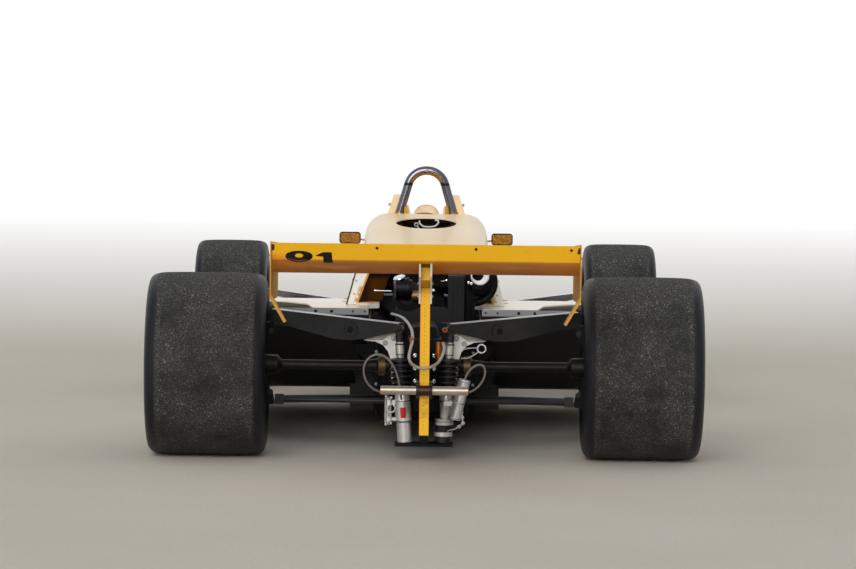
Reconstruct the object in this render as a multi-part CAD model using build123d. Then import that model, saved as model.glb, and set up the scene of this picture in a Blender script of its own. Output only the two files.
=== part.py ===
from build123d import *
import math
import os

os.makedirs("parts", exist_ok=True)

# Open wheel racing car, millimetres. +Y points forward, +X to the right, Z = 0 is the ground.

# Running gear
WHEELBASE = 2720
AXLE_REAR_Y = -1435
AXLE_FRONT_Y = AXLE_REAR_Y + WHEELBASE
REAR_TRACK = 1564
FRONT_TRACK = 1642
REAR_TYRE_D = 660
REAR_TYRE_W = 430
FRONT_TYRE_D = 625
FRONT_TYRE_W = 304
RIM_D = 381
REAR_RIM_W = 362
FRONT_RIM_W = 250
AXLE_REAR_Z = REAR_TYRE_D / 2
AXLE_FRONT_Z = FRONT_TYRE_D / 2
REAR_CENTRE_X = REAR_TRACK / 2
FRONT_CENTRE_X = FRONT_TRACK / 2

# Fits
RUN_CLEAR = 0.05
SEAT_GAP = 0.3
MOVE_CLEAR = 6

# Overall ends
NOSE_LENGTH = 1000
NOSE_TIP_Y = AXLE_FRONT_Y + NOSE_LENGTH
WING_REAR_Y = AXLE_REAR_Y - 850
HOOP_TOP_Z = 1003

# Tub and body
TUB_REAR_Y = -260
TUB_FRONT_Y = AXLE_FRONT_Y + 195
TUB_HALF_W = 290
TUB_FRONT_HALF_W = 185
TUB_WALL = 25
TUB_FLOOR_Z = 60
DECK_Z = 500
TUB_FRONT_TOP_Z = 400
BODY_WALL = 5
DASH_Y = 620
COVER_REAR_Y = -735
COVER_FRONT_Y = -185
COCKPIT_REAR_Y = -105
COCKPIT_HALF_W = 235
DOME_HALF_W = 226
DOME_TOP_Z = 818


def closed(points, radii=0):
    """Closed outline of straight runs, each corner rounded by its radius."""
    return make_face(FilletPolyline(*points, radius=radii, close=True))


def slab_x(face, x_low, x_high):
    """Outline drawn in Y and Z, made solid between two places along X."""
    return extrude(Plane.YZ.offset(x_low) * face, amount=x_high - x_low)


def slab_y(face, y_low, y_high):
    """Outline drawn in X and Z, made solid between two places along Y."""
    return extrude(Plane.XZ.offset(-y_high) * face, amount=y_high - y_low)


def slab_z(face, z_low, z_high):
    """Outline drawn in X and Y, made solid between two heights."""
    return extrude(Plane.XY.offset(z_low) * face, amount=z_high - z_low)


def bar(start, end, radius):
    """Round bar between two points."""
    run = Vector(*end) - Vector(*start)
    seat = Plane(origin=start, z_dir=run)
    return seat * Cylinder(radius, run.length, align=(Align.CENTER, Align.CENTER, Align.MIN))


def block(low, high):
    """Square block between its lowest and highest corners."""
    size = [b - a for a, b in zip(low, high)]
    middle = [(a + b) / 2 for a, b in zip(low, high)]
    return Pos(*middle) * Box(*size)


def flip(shape):
    """The left hand copy of a right hand piece."""
    return mirror(shape, about=Plane.YZ)


def both(shape):
    """A right hand form and its left hand copy as one."""
    return shape + flip(shape)


def spun(points, radii=0):
    """Outline drawn along X and outwards, turned about the X axis."""
    return revolve(Plane.XZ * closed(points, radii), Axis.X)


def column(rows):
    """Solid round column about Z, through rows of height and radius."""
    side = [(radius, height) for height, radius in rows]
    outline = [(0, rows[0][0])] + side + [(0, rows[-1][0])]
    return revolve(Plane.XZ * make_face(Polyline(*outline, close=True)), Axis.Z)


def pipe(points, radii, radius):
    """Rigid pipe along straight runs with a bend at each inner point."""
    path = FilletPolyline(*points, radius=radii)
    return sweep(Plane(origin=path @ 0, z_dir=path % 0) * Circle(radius), path=path)


# Tyre: a hollow carcass open at the rim, with a flat tread and round shoulders.
TREAD = 14
SIDEWALL = 9
BEAD = 16
LIP_H = 14
LIP_T = 8
RIM_WALL = 7
SHOULDER_R = 58
SIDE_LOW = 45


def tyre(diameter, width, rim_width):
    r, half = diameter / 2, width / 2
    rim_r = RIM_D / 2
    seat = rim_width / 2 - LIP_T
    wall = half - SIDEWALL
    bead = seat - BEAD
    outer = [(seat, rim_r), (seat, rim_r + LIP_H + 1), (half, rim_r + SIDE_LOW), (half, r)]
    inner = [(wall, r - TREAD), (wall, rim_r + SIDE_LOW + 7), (bead, rim_r + 24), (bead, rim_r)]
    ring = [(-x, z) for x, z in outer] + outer[::-1] + inner[::-1] + [(-x, z) for x, z in inner]
    outer_radii = [0, 0, 12, SHOULDER_R]
    inner_radii = [SHOULDER_R - TREAD, 12, 6, 0]
    return spun(ring, outer_radii + outer_radii[::-1] + inner_radii[::-1] + inner_radii)


# Wheel: a two lipped barrel with a well, a hub, tapered spokes and a centre nut.
HUB_R = 62
SPOKES = 6
SPOKE_W = 54
SPOKE_T = 16
WELL = 22
NUT_R = 44
NUT_H = 18


def barrel(rim_width):
    w, r = rim_width / 2, RIM_D / 2
    lip = [(w, r + LIP_H), (w - LIP_T, r + LIP_H), (w - LIP_T, r)]
    well = [(w - 48, r), (w - 60, r - WELL)]
    back = [(w - 62, r - WELL - RIM_WALL), (w - 50, r - RIM_WALL), (w, r - RIM_WALL)]
    half = lip + well
    ring = half + [(-x, z) for x, z in reversed(half)] + [(-x, z) for x, z in reversed(back)] + back
    return spun(ring)


def wheel(rim_width, hub_in, hub_out, bore_r, web):
    """Barrel, hub, spokes and nut about the X axis, outer face towards +X."""
    body = barrel(rim_width)
    hub = spun([(hub_in, bore_r), (hub_in, HUB_R), (hub_out, HUB_R - 14), (hub_out, bore_r)])
    tip = RIM_D / 2 - WELL - RIM_WALL + 2
    root = HUB_R - 20
    outline = [(-SPOKE_W / 2, root), (SPOKE_W / 2, root), (SPOKE_W / 3, tip), (-SPOKE_W / 3, tip)]
    spoke = slab_x(closed(outline), web, web + SPOKE_T)
    for i in range(SPOKES):
        body += Rot(i * 360 / SPOKES, 0, 0) * spoke
    nut = slab_x(RegularPolygon(NUT_R, 6), hub_out - 1, hub_out + NUT_H)
    body += hub + nut
    return body - bar((hub_in - 1, 0, 0), (hub_out + NUT_H + 1, 0, 0), bore_r)


# Brake disc, turning with its wheel
DISC_R = 135
DISC_T = 22
CALIPER_R = 150
CALIPER_W = 20
CALIPER_HALF_H = 42


def caliper(x_middle):
    """Two pots either side of the disc and a bridge over its edge, on the rear side."""
    gap = DISC_T / 2 + MOVE_CLEAR
    h = CALIPER_HALF_H
    side = closed([(-CALIPER_R, -h), (-CALIPER_R, h), (-2 * h, h), (-2 * h, -h)], 10)
    body = slab_x(side, x_middle - gap - CALIPER_W, x_middle + gap + CALIPER_W)
    slot = Pos(x_middle, 0, 0) * Rot(0, 90, 0) * Cylinder(DISC_R + MOVE_CLEAR, 2 * gap)
    return body - slot


# Front knuckle, spindle and wheel, places outwards from the car's middle line
KINGPIN_X = 700
KNUCKLE_X = (706, 734)
SPINDLE_R = 22
UPPER_JOINT_Z = 412
LOWER_JOINT_Z = 205
JOINT_PIN_R = 10
EYE_R = 20
EYE_H = 24
STEER_ARM = 120
STEER_ARM_Z = 240
ARM_T = 14
FRONT_DISC_X = 762
FRONT_HUB_IN = 778
FRONT_HUB_OUT = 60


def knuckle():
    y, z = AXLE_FRONT_Y, AXLE_FRONT_Z
    top, bottom = UPPER_JOINT_Z - EYE_H / 2 - SEAT_GAP, LOWER_JOINT_Z + EYE_H / 2 + SEAT_GAP
    side = closed([(-30, bottom - z), (30, bottom - z), (52, 0), (30, top - z), (-30, top - z), (-52, 0)], 12)
    body = slab_x(Pos(y, z) * side, KNUCKLE_X[0], KNUCKLE_X[1])
    for low, high in ((top - 24, top), (bottom, bottom + 24)):
        body += block((KINGPIN_X - 18, y - 20, low), (KNUCKLE_X[0] + 1, y + 20, high))
    pin_top = UPPER_JOINT_Z + EYE_H / 2 + 6
    pin_low = LOWER_JOINT_Z - EYE_H / 2 - 6
    body += bar((KINGPIN_X, y, top - 12), (KINGPIN_X, y, pin_top), JOINT_PIN_R)
    body += bar((KINGPIN_X, y, pin_low), (KINGPIN_X, y, bottom + 12), JOINT_PIN_R)
    tip = FRONT_CENTRE_X + FRONT_HUB_OUT + NUT_H + 6
    body += bar((KNUCKLE_X[0], y, z), (tip, y, z), SPINDLE_R)
    arm = closed(
        [
            (KINGPIN_X - 16, y + STEER_ARM + 18),
            (KINGPIN_X + 16, y + STEER_ARM + 18),
            (KNUCKLE_X[1], y + 30),
            (KNUCKLE_X[0], y + 30),
            (KINGPIN_X - 16, y + STEER_ARM - 30),
        ],
        [12, 12, 0, 0, 12],
    )
    body += slab_z(arm, STEER_ARM_Z - ARM_T, STEER_ARM_Z)
    body += Pos(0, y, z) * caliper(FRONT_DISC_X)
    body += block((KNUCKLE_X[1] - 4, y - 110, z - 26), (KNUCKLE_X[1] + 6, y - 40, z + 26))
    return body - bar((tip - 16, y, z), (tip + 1, y, z), 8)


def disc(x_middle, y, z, bore_r):
    half = DISC_T / 2
    ring = spun([(-half, bore_r), (-half, DISC_R), (half, DISC_R), (half, bore_r)])
    return Pos(x_middle, y, z) * ring


def front_wheel():
    hub_in = FRONT_HUB_IN - FRONT_CENTRE_X
    body = wheel(FRONT_RIM_W, hub_in, FRONT_HUB_OUT, SPINDLE_R + RUN_CLEAR, 30)
    return Pos(FRONT_CENTRE_X, AXLE_FRONT_Y, AXLE_FRONT_Z) * body


def front_disc():
    """Disc with the bell that fixes it to the wheel's hub."""
    bore = SPINDLE_R + RUN_CLEAR
    bell = spun([(0, bore), (0, HUB_R - 4), (5, HUB_R - 4), (5, bore)])
    bell = Pos(FRONT_DISC_X + DISC_T / 2, AXLE_FRONT_Y, AXLE_FRONT_Z) * bell
    return disc(FRONT_DISC_X, AXLE_FRONT_Y, AXLE_FRONT_Z, SPINDLE_R + 14) + bell


# Tub: stations from the rear bulkhead to the front one
TUB_STATIONS = (
    # y, half width, floor height, top height
    (TUB_REAR_Y, TUB_HALF_W, TUB_FLOOR_Z, DECK_Z),
    (DASH_Y, TUB_HALF_W, TUB_FLOOR_Z, DECK_Z),
    (TUB_FRONT_Y, TUB_FRONT_HALF_W, TUB_FLOOR_Z + 20, TUB_FRONT_TOP_Z),
)


def tub_half(y):
    """Half width of the tub at a place along its length."""
    middle, front = TUB_STATIONS[1], TUB_STATIONS[2]
    share = max(0, (y - middle[0]) / (front[0] - middle[0]))
    return middle[1] + share * (front[1] - middle[1])


def tub_shape(inset, lift, y_rear, y_front):
    """Outer or inner form of the tub between two bulkheads, by plan and by side view."""
    right = [(half - inset, y) for y, half, low, high in TUB_STATIONS]
    plan = right + [(-x, y) for x, y in reversed(right)]
    side = [(y, low + inset) for y, half, low, high in TUB_STATIONS]
    side += [(y, high + lift) for y, half, low, high in reversed(TUB_STATIONS)]
    body = slab_z(make_face(Polyline(*plan, close=True)), 0, 2 * DECK_Z)
    body &= slab_x(make_face(Polyline(*side, close=True)), -2 * TUB_HALF_W, 2 * TUB_HALF_W)
    return body & block((-2 * TUB_HALF_W, y_rear, 0), (2 * TUB_HALF_W, y_front, 2 * DECK_Z))


# Front suspension
FRONT_PIVOT_X = 215
FRONT_ARM_INNER_Z = 330
FRONT_ARM_HALF_T = 17
FRONT_WISH_INNER_Z = 150
FRONT_LEG_REAR = 190
FRONT_LEG_FRONT = 150


def front_rocker():
    """Box section upper arm from the tub to the upper joint."""
    y = AXLE_FRONT_Y
    tip = KINGPIN_X - EYE_R + 6
    wall = tub_half(AXLE_FRONT_Y) - 10
    outline = closed(
        [
            (tip, UPPER_JOINT_Z - 10),
            (tip, UPPER_JOINT_Z + 10),
            (FRONT_PIVOT_X, FRONT_ARM_INNER_Z + 28),
            (wall, FRONT_ARM_INNER_Z + 20),
            (wall, FRONT_ARM_INNER_Z - 34),
            (FRONT_PIVOT_X + 30, FRONT_ARM_INNER_Z - 34),
        ],
        [0, 6, 12, 0, 0, 12],
    )
    body = slab_y(outline, y - FRONT_ARM_HALF_T, y + FRONT_ARM_HALF_T)
    joint = Pos(KINGPIN_X, y, UPPER_JOINT_Z)
    body = body - joint * Cylinder(EYE_R - 2, EYE_H + 30) + joint * Cylinder(EYE_R, EYE_H)
    body -= joint * Cylinder(JOINT_PIN_R + RUN_CLEAR, EYE_H + 2)
    return body - tub_shape(0, 0, TUB_REAR_Y, TUB_FRONT_Y)


def front_wishbone():
    y, z = AXLE_FRONT_Y, LOWER_JOINT_Z
    body = Pos(KINGPIN_X, y, z) * Cylinder(EYE_R, EYE_H)
    for leg_y in (y - FRONT_LEG_REAR, y + FRONT_LEG_FRONT):
        wall = tub_half(leg_y)
        body += bar((KINGPIN_X - 8, y, z), (wall + 14, leg_y, FRONT_WISH_INNER_Z), 11)
        body += Pos(wall + 4, leg_y, FRONT_WISH_INNER_Z) * Box(30, 26, 26)
    body -= Pos(KINGPIN_X, y, z) * Cylinder(JOINT_PIN_R + RUN_CLEAR, EYE_H + 20)
    return body - tub_shape(0, 0, TUB_REAR_Y, TUB_FRONT_Y)


# Steering rack, sliding along X in the tub's nose box
RACK_R = 14
RACK_HALF = 150
RACK_Y = AXLE_FRONT_Y + STEER_ARM
TIE_R = 8
TIE_EYE_R = 15
TIE_EYE_H = 20
TIE_Z = STEER_ARM_Z + SEAT_GAP + TIE_EYE_H / 2
BEARING_X = 130


def steering_rack():
    body = bar((-RACK_HALF, RACK_Y, TIE_Z), (RACK_HALF, RACK_Y, TIE_Z), RACK_R)
    for side in (-1, 1):
        start, end = side * (RACK_HALF - 5), side * (KINGPIN_X - 5)
        body += bar((start, RACK_Y, TIE_Z), (end, RACK_Y, TIE_Z), TIE_R)
        body += Pos(side * KINGPIN_X, RACK_Y, TIE_Z) * Cylinder(TIE_EYE_R, TIE_EYE_H)
    return body


# Steering column and wheel
COLUMN_R = 11
WHEEL_TILT = 18
STEER_WHEEL_Y = DASH_Y - 150
STEER_WHEEL_Z = DECK_Z + 60
COLUMN_LENGTH = 190
COLUMN_HEAD = (0, STEER_WHEEL_Y, STEER_WHEEL_Z)
COLUMN_DIR = (0, math.cos(math.radians(WHEEL_TILT)), -math.sin(math.radians(WHEEL_TILT)))
COLUMN_FOOT = tuple(a + COLUMN_LENGTH * b for a, b in zip(COLUMN_HEAD, COLUMN_DIR))
STEER_RIM_R = 135
STEER_GRIP_R = 12
STEER_BOSS_R = 32


def steering_wheel():
    """Rim, three spokes, boss and column."""
    face = Plane(origin=COLUMN_HEAD, z_dir=COLUMN_DIR, x_dir=(1, 0, 0))
    body = Torus(STEER_RIM_R, STEER_GRIP_R) + Cylinder(STEER_BOSS_R, 16)
    for angle in (0, 180, 90):
        body += Rot(0, 0, angle) * Pos(STEER_RIM_R / 2, 0, 0) * Box(STEER_RIM_R, 26, 5)
    body += Cylinder(COLUMN_R, COLUMN_LENGTH, align=(Align.CENTER, Align.CENTER, Align.MIN))
    return face * body


TANK_LENGTH = 150
FOOT_ROOM_Z = 300


def monocoque_tub():
    body = tub_shape(0, -SEAT_GAP, TUB_REAR_Y, TUB_FRONT_Y)
    # The cockpit, from the seat's bulkhead to the pedals, open above as far as the dash
    seat_y = TUB_REAR_Y + TANK_LENGTH
    room = tub_shape(TUB_WALL, -TUB_WALL, seat_y, TUB_FRONT_Y - 40)
    mouth = block((-COCKPIT_HALF_W, seat_y, 200), (COCKPIT_HALF_W, DASH_Y, 2 * DECK_Z))
    body = body - room - mouth
    # Dash bulkhead with leg room under it
    half, top = TUB_HALF_W - TUB_WALL + 1, DECK_Z - TUB_WALL + 1
    dash = closed([(-half, FOOT_ROOM_Z), (half, FOOT_ROOM_Z), (half, top), (-half, top)])
    body += slab_y(dash, DASH_Y, DASH_Y + 12)
    # Bearing blocks for the rack, standing on the floor, and the tie rods' way out
    for side in (-1, 1):
        x = side * BEARING_X
        body += block((x - 22, RACK_Y - 26, 170), (x + 22, RACK_Y + 26, TIE_Z + 26))
    body += block((-150, RACK_Y - 26, 100), (150, RACK_Y + 26, 190))
    body -= bar((-2 * TUB_HALF_W, RACK_Y, TIE_Z), (2 * TUB_HALF_W, RACK_Y, TIE_Z), RACK_R + RUN_CLEAR)
    return body - bar(COLUMN_FOOT, COLUMN_HEAD, COLUMN_R + RUN_CLEAR)


# Roll hoop: one bent tube with leaning legs, and a cross tube that backs the headrest
HOOP_R = 17
HOOP_Y = (COVER_FRONT_Y + COCKPIT_REAR_Y) / 2 - 5
HOOP_CROWN_HALF = 56
HOOP_CROWN_R = 72
HOOP_LEAN = 0.29
HOOP_BRACE_Z = 760
HOOP_BRACE_R = 12


def hoop_half(z):
    """Half width between the hoop's legs at a height."""
    return HOOP_CROWN_HALF + HOOP_LEAN * (HOOP_TOP_Z - HOOP_R - z)


def hoop_tube(radius):
    low, crown = DECK_Z - 20, HOOP_TOP_Z - HOOP_R
    foot = hoop_half(low)
    points = [(-foot, HOOP_Y, low), (-HOOP_CROWN_HALF, HOOP_Y, crown)]
    points += [(HOOP_CROWN_HALF, HOOP_Y, crown), (foot, HOOP_Y, low)]
    return pipe(points, HOOP_CROWN_R, radius)


def roll_hoop():
    half = hoop_half(HOOP_BRACE_Z) - 4
    brace = bar((-half, HOOP_Y, HOOP_BRACE_Z), (half, HOOP_Y, HOOP_BRACE_Z), HOOP_BRACE_R)
    below = block((-TUB_HALF_W, HOOP_Y - 50, DECK_Z - 60), (TUB_HALF_W, HOOP_Y + 50, DECK_Z))
    return hoop_tube(HOOP_R) + brace - below


# Body above the tub: stations from the hoop to the front bulkhead
BODY_STATIONS = (
    # y, half width, base height, shoulder half width, shoulder height, top half width, top height, top radius
    (COVER_FRONT_Y, TUB_HALF_W, DECK_Z, 240, 700, DOME_HALF_W, DOME_TOP_Z, 85),
    (COCKPIT_REAR_Y, TUB_HALF_W, DECK_Z, 243, 695, 226, 806, 80),
    (150, TUB_HALF_W, DECK_Z, 262, 590, 232, 668, 50),
    (DASH_Y, TUB_HALF_W, DECK_Z, 250, 580, 200, 655, 50),
    (1050, 237, 450, 200, 510, 140, 560, 30),
    (TUB_FRONT_Y, TUB_FRONT_HALF_W, TUB_FRONT_TOP_Z, 165, 425, 115, 452, 16),
)


def body_section(row, inset):
    """One cross section of the body, flat below and rounded above."""
    y, half, base, shoulder, shoulder_z, top, top_z, radius = row
    right = [(half - inset, base), (shoulder - inset, shoulder_z), (top - inset, top_z - inset)]
    points = right + [(-x, z) for x, z in reversed(right)]
    round_top, round_side = radius - inset, 0.4 * radius
    radii = [0, round_side, round_top, round_top, round_side, 0]
    return Plane.XZ.offset(-y) * closed(points, radii)


def body_form(stations, inset):
    return loft([body_section(row, inset) for row in stations], ruled=True)


# Fairings beside the hoop's legs, open behind
HORN_OUTLINE = ((58, 798), (70, 848), (88, 851), (93, 889), (127, 891), (158, 796))
HORN_LENGTH = 44
HEAD_HALF_W = 53
MOUTH_HALF_W = COCKPIT_HALF_W - 20


def cockpit_surround():
    """Shell from the hoop to the front bulkhead, with the driver's opening and the hoop's fairings."""
    body = body_form(BODY_STATIONS, 0) - body_form(BODY_STATIONS, BODY_WALL)
    body += both(slab_y(closed(HORN_OUTLINE, [0, 6, 6, 10, 14, 0]), HOOP_Y, HOOP_Y + HORN_LENGTH))
    rear, front = COCKPIT_REAR_Y, DASH_Y - 90
    half = MOUTH_HALF_W
    right = [(150, rear), (half, rear + 200), (half, front - 200), (150, front)]
    points = right + [(-x, y) for x, y in reversed(right)]
    mouth = closed(points, [40, 90, 120, 60, 60, 120, 90, 40])
    body -= slab_z(mouth, DECK_Z + 20, 2 * DECK_Z)
    # Notch for the headrest, and the hoop's legs passing through
    notch_y = HOOP_Y + HOOP_BRACE_R
    body -= block((-HEAD_HALF_W - 2, notch_y, DECK_Z + 60), (HEAD_HALF_W + 2, rear + 60, 2 * DECK_Z))
    body -= hoop_tube(HOOP_R + SEAT_GAP)
    return body.solids().sort_by(SortBy.VOLUME)[-1]


SCREEN_T = 3
SCREEN_LOW_Z = 600
SCREEN_TOP_Z = 735
SCREEN_REAR_Y = DASH_Y - 220


def windscreen():
    """Low clear screen wrapped round the front of the opening."""
    front = DASH_Y + 10
    right = [(208, SCREEN_REAR_Y), (192, DASH_Y - 130), (110, front)]
    path = FilletPolyline(*[(-x, y) for x, y in right], *reversed(right), radius=[60, 70, 70, 60])
    wall = offset(path, SCREEN_T, side=Side.LEFT)
    body = slab_z(make_face(wall), SCREEN_LOW_Z, SCREEN_TOP_Z) - body_form(BODY_STATIONS, 0)
    return body.solids().sort_by(SortBy.VOLUME)[-1]


NOSE_STATIONS = (
    # y, half width, low height, high height, corner radius
    (TUB_FRONT_Y + SEAT_GAP, TUB_FRONT_HALF_W, TUB_FLOOR_Z + 20, 450, 60),
    (TUB_FRONT_Y + 420, 165, 85, 330, 60),
    (TUB_FRONT_Y + 720, 140, 95, 210, 45),
    (NOSE_TIP_Y, 110, 115, 160, 20),
)


def nose_form(inset, shift):
    rows = []
    for y, half, low, high, corner in NOSE_STATIONS:
        plate = RectangleRounded(2 * (half - inset), high - low - 2 * inset, corner - inset)
        rows.append(Plane.XZ.offset(-(y - shift)) * Pos(0, (low + high) / 2) * plate)
    return loft(rows, ruled=True)


def nose_cone():
    return nose_form(0, 0) - nose_form(BODY_WALL, BODY_WALL)


# Engine cover: a dome over the engine with an arched rear flange, feet and an oval vent
COVER_STATIONS = (
    (COVER_FRONT_Y - SEAT_GAP, TUB_HALF_W, DECK_Z + SEAT_GAP, 240, 700, DOME_HALF_W, DOME_TOP_Z, 85),
    (COVER_REAR_Y, TUB_HALF_W + 10, DECK_Z + SEAT_GAP, 262, 640, 205, 728, 70),
)
ARCH_FLANGE = 58
VENT_W = 233
VENT_L = 200
VENT_Y = COVER_FRONT_Y - 165
FOOT_TIP_X = 168
FOOT_T = 24


def engine_cover():
    """Domed shell over the engine, open at the rear inside an arched flange."""
    body = body_form(COVER_STATIONS, 0) - body_form(COVER_STATIONS, BODY_WALL)
    y, half, base, shoulder, shoulder_z, top, top_z, radius = COVER_STATIONS[1]
    right = [
        (half - ARCH_FLANGE + 14, base - 1),
        (shoulder - ARCH_FLANGE, shoulder_z),
        (top - ARCH_FLANGE + 10, top_z - ARCH_FLANGE + 10),
    ]
    points = right + [(-x, z) for x, z in reversed(right)]
    arch = closed(points, [0, 50, 50, 50, 50, 0])
    frame = extrude(body_section(COVER_STATIONS[1], 0), amount=-BODY_WALL)
    body += frame - slab_y(arch, y - 20, y + 20)
    # A pointed foot turned inwards under each leg
    foot = closed(
        [
            (half - 40, y),
            (half - 40, y + 105),
            (FOOT_TIP_X + 40, y + 80),
            (FOOT_TIP_X, y + 42),
            (FOOT_TIP_X + 46, y + 4),
        ],
        [0, 0, 30, 10, 20],
    )
    body += both(slab_z(foot, base - FOOT_T + 8, base + 8))
    vent = Ellipse(VENT_W / 2, VENT_L / 2)
    return body - slab_z(Pos(0, VENT_Y) * vent, shoulder_z, 2 * DECK_Z)


# Underwing tunnel: a curved roof, an outer fence and black inside
POD_FRONT_Y = 560
POD_REAR_Y = -915
POD_HALF_W = 700
POD_IN = TUB_HALF_W + SEAT_GAP
TUNNEL_EDGE_Z = 120
TUNNEL_T = 6
TUNNEL_IN_REAR = 215
TUNNEL_IN_ENGINE = 270
TUNNEL_REAR_Y = -1060
TUNNEL_REAR_Z = 440
THROAT_Z = 106
THROAT_Y = POD_FRONT_Y - 155
LIP_Z = 190
RISE_Y = -560
RISE_Z = 230
FENCE_LOW_Z = 35
FENCE_T = 8
ENGINE_FRONT_Y = TUB_REAR_Y - SEAT_GAP
ENGINE_LENGTH = 640
ENGINE_REAR_Y = ENGINE_FRONT_Y - ENGINE_LENGTH


def roof_line(lift):
    """Edges of the roof's side view from the inlet back to the exit, raised by a thickness."""
    inlet, lip_mid = (POD_FRONT_Y, LIP_Z - TUNNEL_T + lift), (THROAT_Y + 100, THROAT_Z + 24 + lift)
    throat, start = (THROAT_Y, THROAT_Z + lift), (0, THROAT_Z + 14 + lift)
    rise, end = (RISE_Y, RISE_Z + lift), (TUNNEL_REAR_Y, TUNNEL_REAR_Z + lift)
    edges = [ThreePointArc(inlet, lip_mid, throat), Line(throat, start), ThreePointArc(start, rise, end)]
    return edges, inlet, end


def tunnel():
    """Roof swept up to the rear from the throat, with its outer fence."""
    under, under_in, under_out = roof_line(0)
    over, over_in, over_out = roof_line(TUNNEL_T)
    roof = make_face(under + over + [Line(under_in, over_in), Line(under_out, over_out)])
    outer_x = POD_HALF_W - BODY_WALL - SEAT_GAP
    body = slab_x(roof, TUNNEL_IN_REAR, outer_x)
    # Beside the tub the roof starts at the tub's wall, and beside the engine outside the banks
    body -= block((0, TUB_REAR_Y - 20, 0), (POD_IN, POD_FRONT_Y + 50, 2 * DECK_Z))
    body -= block((0, ENGINE_REAR_Y - 10, 0), (TUNNEL_IN_ENGINE, TUB_REAR_Y, 2 * DECK_Z))
    fence = closed(
        [
            (POD_FRONT_Y, FENCE_LOW_Z),
            (POD_FRONT_Y, LIP_Z - 10),
            (0, THROAT_Z + 54),
            (RISE_Y, RISE_Z),
            (ENGINE_REAR_Y, RISE_Z + 100),
            (ENGINE_REAR_Y, FENCE_LOW_Z + 60),
            (ENGINE_REAR_Y + 300, FENCE_LOW_Z),
        ]
    )
    return body + slab_x(fence, outer_x - FENCE_T, outer_x)


# Side pod: a deck that falls to the front, a round outer edge, an inlet lip and exit slots
POD_STATIONS = (
    # y, top height, edge radius
    (POD_REAR_Y, DECK_Z, 34),
    (-300, 490, 36),
    (120, 462, 44),
    (POD_FRONT_Y, 400, 50),
)
POD_LIP = 14
STRIP_X = (212, 420)
STRIP_H = 24
STRIP_HOLES = (226, 270)
SLOT_X = (390, 610)
SLOT_COUNT = 5
SLOT_STEP = 42


def pod_section(row, inset):
    y, top, radius = row
    inner = POD_IN - (10 if inset else 0)
    low = TUNNEL_EDGE_Z - (10 if inset else 0)
    points = [(inner, low), (inner, top - inset), (POD_HALF_W - inset, top - inset), (POD_HALF_W - inset, low)]
    return Plane.XZ.offset(-y) * closed(points, [0, 0, radius - inset, 0])


def side_pod():
    """Side pod shell, its deck's rear edge swept forwards ahead of the tyre."""
    body = loft([pod_section(row, 0) for row in POD_STATIONS], ruled=True)
    body -= loft([pod_section(row, BODY_WALL) for row in POD_STATIONS], ruled=True)
    # Rounded lip of the air inlet
    lip = extrude(pod_section(POD_STATIONS[-1], 0), amount=-POD_LIP)
    body += lip - extrude(pod_section(POD_STATIONS[-1], POD_LIP), amount=-3 * POD_LIP, both=True)
    # Slots that let the radiator's air out
    for i in range(SLOT_COUNT):
        y = 60 + i * SLOT_STEP
        body -= block((SLOT_X[0], y, 400), (SLOT_X[1], y + 16, 2 * DECK_Z))
    far = POD_REAR_Y - 100
    sweep_line = closed(
        [
            (STRIP_X[1], POD_REAR_Y - 1),
            (STRIP_X[1] + 30, POD_REAR_Y + 275),
            (STRIP_X[1] + 140, POD_REAR_Y + 455),
            (POD_HALF_W + 10, POD_REAR_Y + 485),
            (POD_HALF_W + 10, far),
            (STRIP_X[1], far),
        ],
        [0, 150, 100, 0, 0, 0],
    )
    body -= slab_z(sweep_line, 0, 2 * DECK_Z)
    # Deck behind the tub and the drilled strip along its edge
    behind = COVER_REAR_Y - 10
    body += block((STRIP_X[0] + 3, POD_REAR_Y, DECK_Z - BODY_WALL), (POD_IN + 1, behind, DECK_Z))
    strip_top = DECK_Z - 2
    strip = block((STRIP_X[0], POD_REAR_Y, strip_top - STRIP_H), (STRIP_X[1], POD_REAR_Y + 3, strip_top))
    for x in STRIP_HOLES:
        strip -= Pos(x, POD_REAR_Y, strip_top - STRIP_H / 2) * Rot(90, 0, 0) * Cylinder(4, 20)
    return body + strip


RADIATOR_TILT = 52
RADIATOR_LENGTH = 340
RADIATOR_T = 50
RADIATOR_Y = 120
RADIATOR_Z = 256.6


def radiator():
    half = RADIATOR_LENGTH / 2
    core = closed([(-half, 0), (-half, RADIATOR_T), (half, RADIATOR_T), (half, 0)], 8)
    body = slab_x(core, POD_IN + 40, POD_HALF_W - 60)
    return Pos(0, RADIATOR_Y, RADIATOR_Z) * Rot(RADIATOR_TILT, 0, 0) * body


# Front wings, one each side of the nose, with a flap and an end plate
FRONT_WING_HALF = 720
FRONT_WING_FRONT_Y = NOSE_TIP_Y - 85
FRONT_WING_CHORD = 320
FRONT_WING_Z = 130
NOSE_SIDE_X = 166
FLAP_IN_X = 260


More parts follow.
